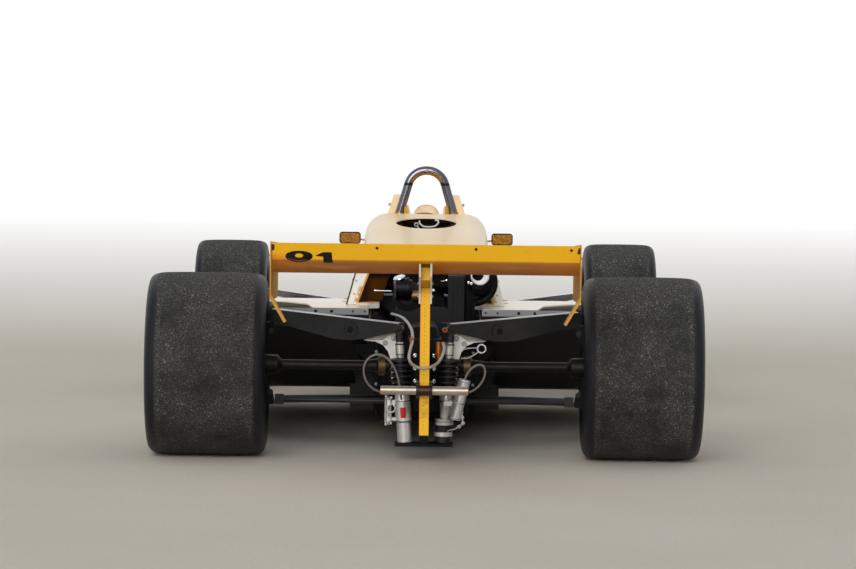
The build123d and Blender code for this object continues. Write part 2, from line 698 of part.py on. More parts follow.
def front_wing():
    front, rear = FRONT_WING_FRONT_Y, FRONT_WING_FRONT_Y - FRONT_WING_CHORD
    z = FRONT_WING_Z
    section = make_face(
        [
            ThreePointArc((front, z), (rear + 180, z - 14), (rear, z + 58)),
            Line((rear, z + 58), (rear + 3, z + 62)),
            ThreePointArc((rear + 3, z + 62), (rear + 190, z + 26), (front - 8, z + 14)),
            ThreePointArc((front - 8, z + 14), (front + 4, z + 8), (front, z)),
        ]
    )
    body = slab_x(section, NOSE_SIDE_X, FRONT_WING_HALF)
    flap = make_face(
        [
            ThreePointArc((rear + 24, z + 78), (rear - 30, z + 86), (rear - 76, z + 124)),
            Line((rear - 76, z + 124), (rear - 73, z + 128)),
            ThreePointArc((rear - 73, z + 128), (rear - 28, z + 94), (rear + 24, z + 78)),
        ]
    )
    body += slab_x(flap, FLAP_IN_X, FRONT_WING_HALF)
    stay = closed([(rear + 40, z + 40), (rear + 40, z + 84), (rear - 40, z + 104), (rear - 10, z + 50)])
    body += slab_x(stay, FLAP_IN_X, FLAP_IN_X + 4)
    outline = [(rear - 90, z - 20), (rear - 60, z - 40), (front + 20, z - 40), (front + 20, z + 40)]
    plate = closed(outline + [(rear - 90, z + 140)], [8, 14, 20, 20, 20])
    return body + slab_x(plate, FRONT_WING_HALF - 1, FRONT_WING_HALF + 4)


# Rear wing
WING_HALF = 526
WING_TOP_Z = DOME_TOP_Z
WING_BAND_H = 58
WING_LOW_Z = 703
WING_CHORD = 350
PLATE_T = 4
PLATE_CHORD = 690
PLATE_LOW_Z = WING_LOW_Z - 71


def rear_wing():
    rear, front = WING_REAR_Y, WING_REAR_Y + WING_CHORD
    top, low, band = WING_TOP_Z, WING_LOW_Z, WING_TOP_Z - WING_BAND_H
    section = make_face(
        [
            Line((rear, top), (rear + 18, band)),
            ThreePointArc((rear + 18, band), (rear + 100, low + 24), (rear + 215, low)),
            ThreePointArc((rear + 215, low), (front - 60, low + 3), (front, low + 22)),
            ThreePointArc((front, low + 22), (front + 4, low + 30), (front - 4, low + 34)),
            ThreePointArc((front - 4, low + 34), (rear + 190, low + 44), (rear + 5, top)),
            Line((rear + 5, top), (rear, top)),
        ]
    )
    return slab_x(section, -WING_HALF, WING_HALF)


def endplate():
    """Plate at the wing's end, with a bent tongue at its lower rear corner."""
    rear, front = WING_REAR_Y, WING_REAR_Y + PLATE_CHORD
    low = PLATE_LOW_Z
    upper = [(rear, WING_TOP_Z + 4), (front - 30, WING_TOP_Z - 20), (front, low + 108)]
    outline = closed([(rear, low)] + upper + [(front - 60, low)], [0, 12, 40, 60, 40])
    x = WING_HALF + SEAT_GAP
    body = slab_x(outline, x, x + PLATE_T)
    bend, tip = low + 6, low - 75
    tongue = closed([(x, bend), (x + PLATE_T, bend), (x - 34, tip), (x - 34 - PLATE_T, tip)])
    return body + slab_y(tongue, rear + 6, rear + 62)


# Wing post, standing behind the gearbox, with a lug each side of its head
POST_HALF_W = 16.5
POST_REAR_Y = AXLE_REAR_Y - 685
POST_DEPTH = 60
POST_LOW_Z = 148
POST_TOP_Z = WING_LOW_Z + 36
LUG_T = 6
LUG_LOW_Z = 604
HEAD_REACH = 85


def wing_post():
    front = POST_REAR_Y + POST_DEPTH
    body = block((-POST_HALF_W, POST_REAR_Y, POST_LOW_Z), (POST_HALF_W, front, POST_TOP_Z))
    # Its head and the lugs reach back beneath the wing's curl
    reach, over = POST_REAR_Y - HEAD_REACH, POST_TOP_Z + 52
    low = WING_LOW_Z - 13
    head = closed([(POST_REAR_Y + 5, low - 35), (reach, low), (reach, over), (POST_REAR_Y + 5, over)])
    body += slab_x(head, -POST_HALF_W, POST_HALF_W)
    lug = closed(
        [
            (front + 20, LUG_LOW_Z),
            (POST_REAR_Y - 6, LUG_LOW_Z),
            (POST_REAR_Y - 6, low - 50),
            (reach - 40, low + 15),
            (reach - 40, over),
            (front + 20, over),
        ]
    )
    body += both(slab_x(lug, POST_HALF_W - 0.5, POST_HALF_W + LUG_T))
    # The lugs end on the wing's underside
    body -= Pos(0, 0, -SEAT_GAP) * rear_wing()
    return body.solids().sort_by(SortBy.VOLUME)[-1]


# Lifting bar across the post, with a clamp collar at its middle
JACK_R = 15
JACK_HALF = 151
JACK_Z = 305
COLLAR_R = 18
COLLAR_HALF = 22
JACK_Y = POST_REAR_Y - COLLAR_R - SEAT_GAP


def jack_bar():
    body = bar((-JACK_HALF, JACK_Y, JACK_Z), (JACK_HALF, JACK_Y, JACK_Z), JACK_R)
    return body + bar((-COLLAR_HALF, JACK_Y, JACK_Z), (COLLAR_HALF, JACK_Y, JACK_Z), COLLAR_R)


# Seat and headrest
SEAT_HALF_W = 200
SEAT_SIDE_T = 40


def seat():
    """Bucket with a raised side along each edge."""
    floor = TUB_FLOOR_Z + TUB_WALL + SEAT_GAP
    back = COCKPIT_REAR_Y
    shell = closed(
        [
            (back, floor + 350),
            (back + 40, floor),
            (back + 510, floor),
            (back + 600, floor + 80),
            (back + 510, floor + 60),
            (back + 120, floor + 60),
            (back + 70, floor + 350),
        ],
        [10, 60, 40, 8, 60, 60, 10],
    )
    wing = closed(
        [
            (back + 4, floor + 330),
            (back + 44, floor + 4),
            (back + 480, floor + 4),
            (back + 420, floor + 120),
            (back + 200, floor + 150),
            (back + 120, floor + 330),
        ],
        [10, 50, 30, 60, 60, 20],
    )
    edge = SEAT_HALF_W - SEAT_SIDE_T
    return slab_x(shell, -SEAT_HALF_W, SEAT_HALF_W) + both(slab_x(wing, edge, SEAT_HALF_W))


HEAD_TOP_Z = HOOP_BRACE_Z + 93
HEAD_LOW_Z = HOOP_BRACE_Z - 70
HEAD_T = 60


def headrest():
    """Round topped pad in front of the hoop's cross tube."""
    rear = HOOP_Y + HOOP_BRACE_R + SEAT_GAP
    half = HEAD_HALF_W
    outline = closed(
        [(-half, HEAD_LOW_Z), (half, HEAD_LOW_Z), (half, HEAD_TOP_Z), (-half, HEAD_TOP_Z)], [14, 14, 48, 48]
    )
    body = slab_y(outline, rear, rear + HEAD_T)
    return fillet(body.faces().sort_by(Axis.Y)[-1].edges(), 12)


# Engine: crankcase, two banks with their cam covers, plenum in the valley, and exhaust pipes
CASE_HALF_W = 150
CASE_LOW_Z = 75
CASE_TOP_Z = 260
BANK_HALF_W = 78
BANK_TOP = 312
COVER_RISE = 22
PORTS = 4
PORT_STEP = 130
COLLECTOR_X = 246
COLLECTOR_Z = 262
COLLECTOR_R = 20
PORT_R = 15


def engine():
    y0, y1 = ENGINE_REAR_Y, ENGINE_FRONT_Y
    half, low, high = CASE_HALF_W, CASE_LOW_Z, CASE_TOP_Z
    case = closed([(-half, low), (half, low), (half + 10, high), (-half - 10, high)], 20)
    body = slab_y(case, y0, y1)
    w, top, rise = BANK_HALF_W, BANK_TOP, BANK_TOP + COVER_RISE
    right = [(w, 80), (w, top - 14), (w - 8, rise), (12, rise), (8, top)]
    bank = closed(right + [(-x, z) for x, z in reversed(right)], [0, 4, 12, 12, 0, 0, 12, 12, 4, 0])
    head = slab_y(bank, y0 + 30, y1 - 20)
    for angle in (-45, 45):
        body += Pos(0, 0, 190) * Rot(0, angle, 0) * head
    plenum = closed([(-72, 365), (72, 365), (72, 540), (-72, 540)], [0, 0, 28, 28])
    body += slab_y(plenum, y0 + 80, y1 - 120)
    # Four ports a side, down to a pipe along the bank
    side = None
    for i in range(PORTS):
        y = y1 - 110 - i * PORT_STEP
        port = bar((198, y, 318), (COLLECTOR_X, y - 20, COLLECTOR_Z), PORT_R)
        side = port if side is None else side + port
    ends = [(COLLECTOR_X, y1 - 100, COLLECTOR_Z), (COLLECTOR_X, y0 + 12, COLLECTOR_Z)]
    side += bar(ends[0], ends[1], COLLECTOR_R)
    return body + both(side)


# Gearbox: bellhousing tapering to the tail that carries the post
GEARBOX_FRONT_Y = ENGINE_REAR_Y - SEAT_GAP
CASE_REAR_Y = AXLE_REAR_Y - 55
CASE_STATIONS = (
    # y, half width, low height, high height
    (GEARBOX_FRONT_Y, 190, 80, 420),
    (-1200, 120, 150, 430),
    (CASE_REAR_Y, 88, 170, 430),
)
RIBS = (-960, -1080, -1290)
BOOM_HALF_W = 16
PIVOT_BEAM_Y = (AXLE_REAR_Y - 33, AXLE_REAR_Y + 1)
PIVOT_PIN_R = 12
OUTPUT_X = 127
OUTPUT_R = 52


def case_section(y, grow):
    """Cross section of the gearbox case at a place along it."""
    for rear, front in zip(CASE_STATIONS[1:], CASE_STATIONS):
        if rear[0] <= y <= front[0]:
            share = (front[0] - y) / (front[0] - rear[0])
            half, low, high = [a + share * (b - a) for a, b in zip(front[1:], rear[1:])]
    plate = RectangleRounded(2 * (half + grow), high - low + 2 * grow, 24)
    return Plane.XZ.offset(-y) * Pos(0, (low + high) / 2) * plate


# Rear rocker, in a plane swept back from the upright to the damper
ROCKER_OUT = (558, AXLE_REAR_Y)
ROCKER_SWEEP = 13.4
ROCKER_PIVOT_Z = 466
ROCKER_PIVOT = 305
ROCKER_EYE = 477
ROCKER_LENGTH = ROCKER_EYE + 15
ROCKER_T = 46
FORK_HALF = 15
FORK_DEPTH = 56
EYE_LIFT = 4
EYE_PIN_R = 8
ROCKER_BOSS_R = 27


def rocker_frame(shape):
    """Places a form drawn inwards from the outer joint, along X, with the pivot's height as zero."""
    turned = Rot(0, 0, 180 + ROCKER_SWEEP) * mirror(shape, about=Plane.XZ)
    return Pos(ROCKER_OUT[0], ROCKER_OUT[1], ROCKER_PIVOT_Z) * turned


def rear_rocker():
    low = -2 * ROCKER_BOSS_R
    outline = closed(
        [(0, 18), (0, 66), (ROCKER_LENGTH, 25), (ROCKER_LENGTH, -27), (ROCKER_PIVOT, low), (20, 18)],
        [8, 20, 16, 16, 60, 0],
    )
    body = slab_y(outline, -ROCKER_T / 2, ROCKER_T / 2)
    pivot = Pos(ROCKER_PIVOT, 0, 0) * Rot(90, 0, 0)
    body += pivot * Cylinder(ROCKER_BOSS_R, ROCKER_T + 10)
    start = ROCKER_LENGTH - FORK_DEPTH
    body -= block((start, -FORK_HALF, low), (ROCKER_LENGTH + 9, FORK_HALF, -low))
    body -= pivot * Cylinder(PIVOT_PIN_R + RUN_CLEAR, 2 * ROCKER_T)
    body -= Pos(ROCKER_EYE, 0, EYE_LIFT) * Rot(90, 0, 0) * Cylinder(EYE_PIN_R + RUN_CLEAR, 2 * ROCKER_T)
    return rocker_frame(body)


DAMPER_PLATE_Z = 52
DAMPER_FOOT_Z = 66
DAMPER_DIP = 1.8


def gearbox():
    body = loft([case_section(row[0], 0) for row in CASE_STATIONS], ruled=True)
    for y in RIBS:
        body += extrude(case_section(y, 8), amount=8)
    boom_end = POST_REAR_Y + POST_DEPTH + SEAT_GAP
    boom = closed([(CASE_REAR_Y + 1, 170), (boom_end, POST_LOW_Z + 4), (boom_end, 300), (CASE_REAR_Y + 1, 400)])
    body += slab_x(boom, -BOOM_HALF_W, BOOM_HALF_W)
    body += bar((-OUTPUT_X, AXLE_REAR_Y, AXLE_REAR_Z), (OUTPUT_X, AXLE_REAR_Y, AXLE_REAR_Z), OUTPUT_R)
    # Carrier for each rocker's pivot, ahead of the rocker, with its pin
    body += both(block((60, PIVOT_BEAM_Y[0], 424), (296, PIVOT_BEAM_Y[1], 488)))
    pin = Pos(ROCKER_PIVOT, 15, 0) * Rot(90, 0, 0) * Cylinder(PIVOT_PIN_R, 90)
    body += both(rocker_frame(pin))
    # Selector housing on top, and the wishbones' pickups low on the sides
    body += slab_y(closed([(-55, 425), (55, 425), (40, 470), (-40, 470)], [0, 0, 14, 14]), -1410, -1130)
    for place, radius in ((WISH_FRONT, WISH_FRONT_R), (WISH_REAR, WISH_REAR_R)):
        run = Vector(*WISH_OUT) - Vector(*place)
        tilt = math.sqrt(1 - (run.X / run.length) ** 2)
        end = place[0] - radius * tilt - SEAT_GAP
        body += both(block((70, place[1] - 15, place[2] - 18), (end, place[1] + 15, place[2] + 30)))
    # Plate under the dampers' feet and the web that carries it
    foot_y = damper_top()[1]
    body += block((-104, foot_y - 36, DAMPER_PLATE_Z), (104, foot_y + 36, DAMPER_FOOT_Z - DAMPER_DIP - SEAT_GAP))
    body += block((-BOOM_HALF_W, foot_y - 15, DAMPER_PLATE_Z + 1), (BOOM_HALF_W, CASE_REAR_Y + 1, 200))
    return body


# Rear upright and lower wishbone
STUB_R = 30
REAR_DISC_X = 690
UPRIGHT_X = (612, 656)
WISH_OUT = (536, AXLE_REAR_Y, 204)
WISH_FRONT = (150, AXLE_REAR_Y + 235, 190)
WISH_REAR = (132, AXLE_REAR_Y - 40, 205)
WISH_FRONT_R = 14
WISH_REAR_R = 9
UPRIGHT_IN_X = 540


def rear_upright():
    y, z = AXLE_REAR_Y, AXLE_REAR_Z
    ring = bar((UPRIGHT_X[0], y, z), (UPRIGHT_X[1], y, z), 74)
    top = ROCKER_PIVOT_Z + 18 - 0.5
    near, far = UPRIGHT_IN_X, UPRIGHT_IN_X + 32
    upper = [(UPRIGHT_X[1], z + 60), (UPRIGHT_X[0] - 4, z + 106), (far, top), (near, top), (near + 6, top - 34)]
    middle = [(UPRIGHT_X[0], z + 10), (UPRIGHT_X[0], z - 10)]
    lower = [(near + 6, 222), (near, 186), (far, 186), (UPRIGHT_X[0] - 4, z - 106), (UPRIGHT_X[1], z - 60)]
    leg = closed(upper + middle + lower, [0, 20, 6, 6, 20, 0, 0, 20, 6, 6, 20, 0])
    body = ring + slab_y(leg, y - 24, y + 24)
    body += Pos(0, y, z) * caliper(REAR_DISC_X)
    body += block((UPRIGHT_X[0] + 4, y - 110, z - 26), (REAR_DISC_X - DISC_T / 2 - MOVE_CLEAR, y - 60, z + 26))
    return body - bar((500, y, z), (700, y, z), STUB_R + RUN_CLEAR)


def rear_wishbone():
    x, y, z = WISH_OUT
    body = bar(WISH_OUT, WISH_FRONT, WISH_FRONT_R) + bar(WISH_OUT, WISH_REAR, WISH_REAR_R)
    body += Pos(x - 12, y, z) * Box(34, 40, 34)
    # Flat outer end against the upright's foot
    beyond = UPRIGHT_IN_X - SEAT_GAP
    return body - block((beyond, y - 40, z - 40), (beyond + 40, y + 40, z + 40))


# Driveshaft: inner flange and joint, shaft, outer joint and stub, turning with the wheel
SHAFT_ROWS = (
    # x, radius
    (OUTPUT_X + 1, 30),
    (142, 30),
    (142, 36),
    (166, 36),
    (172, 26),
    (205, 20),
    (214, 18),
    (515, 18),
    (530, 34),
    (584, 36),
    (584, STUB_R),
)


def driveshaft():
    y, z = AXLE_REAR_Y, AXLE_REAR_Z
    tip = REAR_CENTRE_X + REAR_HUB_OUT + NUT_H + 6
    rows = SHAFT_ROWS + ((tip, STUB_R),)
    body = Pos(0, y, z) * Rot(0, 90, 0) * column(rows)
    return body + disc(REAR_DISC_X, y, z, 20)


REAR_HUB_OUT = 50


def rear_wheel():
    hub_in = REAR_DISC_X + DISC_T / 2 + SEAT_GAP - REAR_CENTRE_X
    body = wheel(REAR_RIM_W, hub_in, REAR_HUB_OUT, STUB_R, 20)
    return Pos(REAR_CENTRE_X, AXLE_REAR_Y, AXLE_REAR_Z) * body


# Dampers beside the gearbox tail: rows from the foot up, each a height and a radius
LEFT_ROWS = (
    (0, 27),
    (10, 27),
    (10, 26),
    (68, 26),
    (68, 24),
    (76, 24),
    (76, 29),
    (150, 29),
    (178, 24),
    (182, 42),
    (190, 42),
    (190, 22),
    (292, 22),
    (292, 42),
    (300, 42),
    (300, 13),
    (312, 13),
    (312, 15.5),
    (352, 15.5),
    (358, 13),
    (388, 13),
)
RIGHT_ROWS = (
    (0, 27),
    (22, 27),
    (22, 33),
    (40, 33),
    (40, 29),
    (62, 29),
    (62, 33),
    (84, 33),
    (84, 16),
    (110, 18),
    (176, 26),
    (182, 42),
    (190, 42),
    (190, 22),
    (292, 22),
    (292, 42),
    (300, 42),
    (300, 13),
    (312, 13),
    (312, 15.5),
    (352, 15.5),
    (358, 13),
    (388, 13),
)
DAMPER_LEAN_X = 26
SPRING_R = 34.5
WIRE_R = 5.5
COIL_STEP = 20
SPRING_LOW = 187
SPRING_LENGTH = 108
RESERVOIR_R = 22
RESERVOIR_LOW = (108, -1640, 158)
RESERVOIR_TOP = (144, -1640, 300)


def damper_top():
    """Middle of the eye in the right hand rocker's fork."""
    sweep_angle = math.radians(ROCKER_SWEEP)
    x = ROCKER_OUT[0] - ROCKER_EYE * math.cos(sweep_angle)
    y = ROCKER_OUT[1] - ROCKER_EYE * math.sin(sweep_angle)
    return (x, y, ROCKER_PIVOT_Z + EYE_LIFT)


def damper(rows):
    """Damper with its canister below, spring between two plates, and eye."""
    top = damper_top()
    foot = (top[0] - DAMPER_LEAN_X, top[1], DAMPER_FOOT_Z)
    coil = Helix(COIL_STEP, SPRING_LENGTH, SPRING_R)
    wire = sweep(Plane(origin=coil @ 0, z_dir=coil % 0) * Circle(WIRE_R), path=coil)
    body = column(rows) + Pos(0, 0, SPRING_LOW) * wire
    seat = Plane(origin=foot, z_dir=Vector(*top) - Vector(*foot), x_dir=(0, 1, 0))
    eye_seat = Pos(*top) * Rot(0, 0, ROCKER_SWEEP) * Rot(90, 0, 0)
    eye = Cylinder(17, 2 * FORK_HALF - 2) + Cylinder(EYE_PIN_R, ROCKER_T - 1)
    return seat * body + eye_seat * eye


def right_damper():
    """Right hand damper with its slanted reservoir on a strap."""
    body = damper(RIGHT_ROWS)
    low, high = RESERVOIR_LOW, RESERVOIR_TOP
    body += bar(low, high, RESERVOIR_R)
    top_x, top_y, top_z = damper_top()
    return body + block((top_x - DAMPER_LEAN_X + 2, low[1], 206), (132, top_y - 10, 222))


def left_damper():
    """Left hand damper with a small clamp block beside its canister."""
    body = flip(damper(LEFT_ROWS))
    x, y, z = damper_top()
    inner = DAMPER_LEAN_X - 2 - x
    clamp = block((-140, y - 12, 200), (inner, y + 12, 216)) + block((-140, y - 12, 140), (inner, y + 12, 154))
    return body + clamp + bar((-131, y, 128), (-131, y, 226), 11)


# Silver plates on the gearbox's rear face
PLATE_X = 84
PLATE_THICK = 10


def gearbox_plate():
    """Bracket with a pointed flange under the rocker and a tail beside the spring."""
    outline = closed(
        [
            (PLATE_X, 270),
            (118, 270),
            (122, 345),
            (138, 384),
            (222, 404),
            (226, 411),
            (PLATE_X, 411),
        ],
        [4, 8, 40, 26, 2, 2, 4],
    )
    return slab_y(outline, CASE_REAR_Y - PLATE_THICK - SEAT_GAP, CASE_REAR_Y - SEAT_GAP)


# Turbocharger on a pedestal above the bellhousing
TURBO_X = 194
TURBO_Y = -912
TURBO_Z = 612


def turbocharger():
    """Compressor scroll with its inlet behind, shaft housing and turbine ahead."""
    scroll = Torus(44, 22)
    inlet = column([(0, 40), (34, 26), (56, 34), (62, 34)])
    inlet -= Pos(0, 0, 40) * Cylinder(22, 60, align=(Align.CENTER, Align.CENTER, Align.MIN))
    middle = column([(-84, 24), (0, 24)])
    turbine = Pos(0, 0, -92) * (Torus(36, 19) + Cylinder(38, 30))
    body = scroll + inlet + middle + turbine
    body = Pos(TURBO_X, TURBO_Y, TURBO_Z) * Rot(90, 0, 0) * body
    return body + bar((158, TURBO_Y - 20, 423), (158, TURBO_Y - 20, TURBO_Z - 20), 28)


# Dry sump tank, box and breather drum above the bellhousing
BOX_REAR_Y = -1050
BOX_FRONT_Y = -968
DRUM_X = -67
DRUM_R = 50
DRUM_Z = 556
BASE_Z = 425.4


def engine_box():
    body = block((84, BOX_REAR_Y, BASE_Z), (144, BOX_FRONT_Y, 632))
    for x in (96, 114, 132):
        body += block((x - 3, BOX_REAR_Y - 6, BASE_Z + 20), (x + 3, BOX_REAR_Y + 1, 620))
    middle_y = (BOX_REAR_Y + BOX_FRONT_Y) / 2
    drum = column([(-50, DRUM_R - 10), (-42, DRUM_R), (30, DRUM_R), (30, DRUM_R + 5), (38, DRUM_R + 5), (44, 30)])
    body += Pos(DRUM_X, middle_y, DRUM_Z) * Rot(90, 0, 0) * drum
    body += slab_y(closed([(-110, BASE_Z), (85, BASE_Z), (85, 512), (-110, 512)], [0, 0, 10, 10]), BOX_REAR_Y + 5, BOX_FRONT_Y - 4)
    neck = column([(0, 16), (30, 16), (30, 22), (38, 22)])
    return body + Pos(DRUM_X - 6, middle_y, DRUM_Z + DRUM_R - 6) * neck


# Mirror: a rounded shell on a short stalk
MIRROR_X = 306
MIRROR_Y = 330
MIRROR_Z = 693
MIRROR_W = 86
MIRROR_H = 48
MIRROR_DEPTH = 48


def mirror_pod():
    rear = RectangleRounded(MIRROR_W, MIRROR_H, 12)
    front = RectangleRounded(MIRROR_W - 24, MIRROR_H - 18, 12)
    rows = [Plane.XZ.offset(-MIRROR_Y) * rear]
    rows.append(Plane.XZ.offset(-MIRROR_Y - MIRROR_DEPTH) * front)
    shell = Pos(MIRROR_X, 0, MIRROR_Z) * loft(rows, ruled=True)
    middle_y = MIRROR_Y + MIRROR_DEPTH / 2
    stalk = bar((MIRROR_X - 74, middle_y, MIRROR_Z - 84), (MIRROR_X - 10, middle_y, MIRROR_Z - 14), 6)
    return shell + stalk - body_form(BODY_STATIONS, 0)


# Hoses, each a route of chosen points from one end to the other
HOSE_R = 5.5
LINE_R = 4
HOSE_ROUTE = (
    (-122, -1240, 502),
    (-104, -1370, 508),
    (-78, -1500, 508),
    (-56, -1625, 494),
    (-44, -1740, 476),
    (-43, -1860, 452),
    (-52, -1975, 428),
    (-56, -2080, 408),
    (-42, -2152, 392),
    (0, -2174, 382),
    (42, -2150, 396),
    (58, -2078, 412),
    (66, -1970, 424),
    (69, -1855, 430),
    (66, -1745, 432),
    (64, -1650, 430),
    (68, -1590, 426),
    (83, -1556, 419),
)
LEFT_LINE_ROUTE = (
    (-81, -1572, 219),
    (-84, -1592, 240),
    (-88, -1606, 275),
    (-98, -1612, 318),
    (-118, -1618, 358),
    (-150, -1622, 386),
    (-186, -1624, 384),
    (-213, -1622, 358),
    (-219, -1618, 320),
    (-206, -1610, 282),
    (-180, -1597, 257),
    (-155, -1581, 247),
    (-139, -1565, 240),
    (-131, -1550, 228),
)
RIGHT_LINE_ROUTE = (
    (144.5, -1640, 301.5),
    (150, -1640, 318),
    (164, -1640, 338),
    (186, -1638, 354),
    (207, -1634, 354),
    (218, -1630, 334),
    (213, -1626, 304),
    (196, -1622, 276),
    (170, -1616, 256),
    (144, -1609, 248),
    (128, -1603, 239),
    (120, -1600, 224.6),
)


def hose(route, radius):
    """Tube along straight runs joined by arcs that use up most of each run."""
    points = [Vector(*p) for p in route]
    radii = []
    for before, here, after in zip(points, points[1:], points[2:]):
        into, out = here - before, after - here
        half_turn = math.radians(into.get_angle(out)) / 2
        radii.append(0.45 * min(into.length, out.length) / math.tan(half_turn))
    print("radii", [round(r) for r in radii], "turns", len(radii))
    tube = pipe(points, radii, radius)
    length = FilletPolyline(*points, radius=radii).length
    print("length", round(length), "volume ratio", round(tube.volume / (math.pi * radius**2 * length), 4))
    return tube


def front_tyre():
    return Pos(FRONT_CENTRE_X, AXLE_FRONT_Y, AXLE_FRONT_Z) * tyre(FRONT_TYRE_D, FRONT_TYRE_W, FRONT_RIM_W)


def rear_tyre():
    return Pos(REAR_CENTRE_X, AXLE_REAR_Y, AXLE_REAR_Z) * tyre(REAR_TYRE_D, REAR_TYRE_W, REAR_RIM_W)


def export(name, shape):
    export_step(shape, f"parts/{name}.step")


def main():
    paired = (
        # node, right hand form
        ("tyre_front", front_tyre),
        ("tyre_rear", rear_tyre),
        ("wheel_front", front_wheel),
        ("wheel_rear", rear_wheel),
        ("brake_disc_front", front_disc),
        ("knuckle", knuckle),
        ("front_rocker", front_rocker),
        ("front_wishbone", front_wishbone),
        ("driveshaft", driveshaft),
        ("rear_upright", rear_upright),
        ("rear_rocker", rear_rocker),
        ("rear_wishbone", rear_wishbone),
        ("gearbox_plate", gearbox_plate),
        ("sidepod", side_pod),
        ("tunnel", tunnel),
        ("radiator", radiator),
        ("front_wing", front_wing),
        ("endplate", endplate),
        ("mirror", mirror_pod),
    )
    single = (
        # node, form
        ("damper_left", left_damper),
        ("damper_right", right_damper),
        ("monocoque_tub", monocoque_tub),
        ("cockpit_surround", cockpit_surround),
        ("windscreen", windscreen),
        ("nose_cone", nose_cone),
        ("engine_cover", engine_cover),
        ("rear_wing", rear_wing),
        ("wing_post", wing_post),
        ("jack_bar", jack_bar),
        ("roll_hoop", roll_hoop),
        ("seat", seat),
        ("headrest", headrest),
        ("engine", engine),
        ("gearbox", gearbox),
        ("turbocharger", turbocharger),
        ("engine_box", engine_box),
        ("steering_wheel", steering_wheel),
        ("steering_rack", steering_rack),
    )
    for name, form in paired:
        right = form()
        export(f"{name}_right", right)
        export(f"{name}_left", flip(right))
    for name, form in single:
        export(name, form())
    export("hose_braided", hose(HOSE_ROUTE, HOSE_R))
    export("line_left", hose(LEFT_LINE_ROUTE, LINE_R))
    export("line_right", hose(RIGHT_LINE_ROUTE, LINE_R))


main()
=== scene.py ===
import math

import bmesh
import bpy
from mathutils import Matrix, Vector


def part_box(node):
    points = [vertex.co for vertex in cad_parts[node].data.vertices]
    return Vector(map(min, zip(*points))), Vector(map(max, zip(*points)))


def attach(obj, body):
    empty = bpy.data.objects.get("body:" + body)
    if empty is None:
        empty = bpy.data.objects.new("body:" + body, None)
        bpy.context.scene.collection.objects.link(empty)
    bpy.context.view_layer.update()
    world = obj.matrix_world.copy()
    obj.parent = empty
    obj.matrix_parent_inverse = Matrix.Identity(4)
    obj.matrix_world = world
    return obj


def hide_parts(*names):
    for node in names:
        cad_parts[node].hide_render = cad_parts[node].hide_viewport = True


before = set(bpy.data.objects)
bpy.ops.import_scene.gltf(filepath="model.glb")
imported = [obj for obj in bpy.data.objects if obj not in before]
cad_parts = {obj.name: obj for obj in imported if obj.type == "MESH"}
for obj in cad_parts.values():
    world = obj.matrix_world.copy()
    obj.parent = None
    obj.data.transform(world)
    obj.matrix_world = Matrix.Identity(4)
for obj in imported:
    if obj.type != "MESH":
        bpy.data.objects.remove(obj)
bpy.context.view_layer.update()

scene = bpy.context.scene
scene.view_settings.view_transform = "Standard"


# Camera
# A long lens on a low tripod behind the car, a little above the wing, leaning a touch to the left. Its place
# and length come from the heights of the tyres, the wing and the hoop in the photograph.
LENS_HEIGHT = 1.628
LENS_BACK = -16.535
LENS = 176.4
LENS_TURN, LENS_DIP, LENS_LEAN = -0.034, 3.8, 0.7
lens = bpy.data.objects.new("camera", bpy.data.cameras.new("camera"))
scene.collection.objects.link(lens)
lens.data.lens = LENS
lens.data.sensor_width = 36
lens.data.clip_end = 300
lens.matrix_world = Matrix.Translation((0, LENS_BACK, LENS_HEIGHT))
for degrees, axis in ((LENS_TURN, "Z"), (90 - LENS_DIP, "X"), (LENS_LEAN, "Z")):
    lens.matrix_world = lens.matrix_world @ Matrix.Rotation(math.radians(degrees), 4, axis)
scene.camera = lens


# Ground and light
# A pale smooth floor that fades into a white backdrop, under one high lamp from ahead on the left,
# as open sunlight falls on a car parked facing it, with a soft wide lamp from behind the camera.
def tint(red, green, blue):
    """A colour as a screen shows it, 0 to 255, in the light values that the shaders use."""
    shares = [value / 255 for value in (red, green, blue)]
    return tuple(s / 12.92 if s < 0.04045 else ((s + 0.055) / 1.055) ** 2.4 for s in shares) + (1.0,)


class Link:
    """A socket, with the arithmetic that the finishes are written in."""

    def __init__(self, bench, socket):
        self.bench, self.socket = bench, socket

    def maths(self, operation, *values, clamp=False):
        settings = {"operation": operation, "use_clamp": clamp}
        return self.bench.node("ShaderNodeMath", settings, dict(enumerate(values)))

    def __add__(self, other):
        return self.maths("ADD", self, other)

    def __sub__(self, other):
        return self.maths("SUBTRACT", self, other)

    def __rsub__(self, other):
        return self.maths("SUBTRACT", other, self)

    def __mul__(self, other):
        return self.maths("MULTIPLY", self, other)

    def __truediv__(self, other):
        return self.maths("DIVIDE", self, other)

    def __pow__(self, other):
        return self.maths("POWER", self, other)

    def __abs__(self):
        return self.maths("ABSOLUTE", self)

    __radd__ = __add__
    __rmul__ = __mul__

    def capped(self):
        """The value, or 1 where it is more."""
        return self.maths("MINIMUM", self, 1.0)

    def over(self, low, high):
        """0 where the value is under low, 1 where it is over high, and even between them."""
        share = (self - low) / (high - low)
        return share.maths("ADD", share, 0, clamp=True)

    def under(self, low, high):
        """1 where the value is under low, 0 where it is over high."""
        return 1 - self.over(low, high)

    def within(self, low, high, soft=0.0004):
        """1 between low and high, 0 outside them."""
        return self.over(low - soft, low) * self.under(high, high + soft)


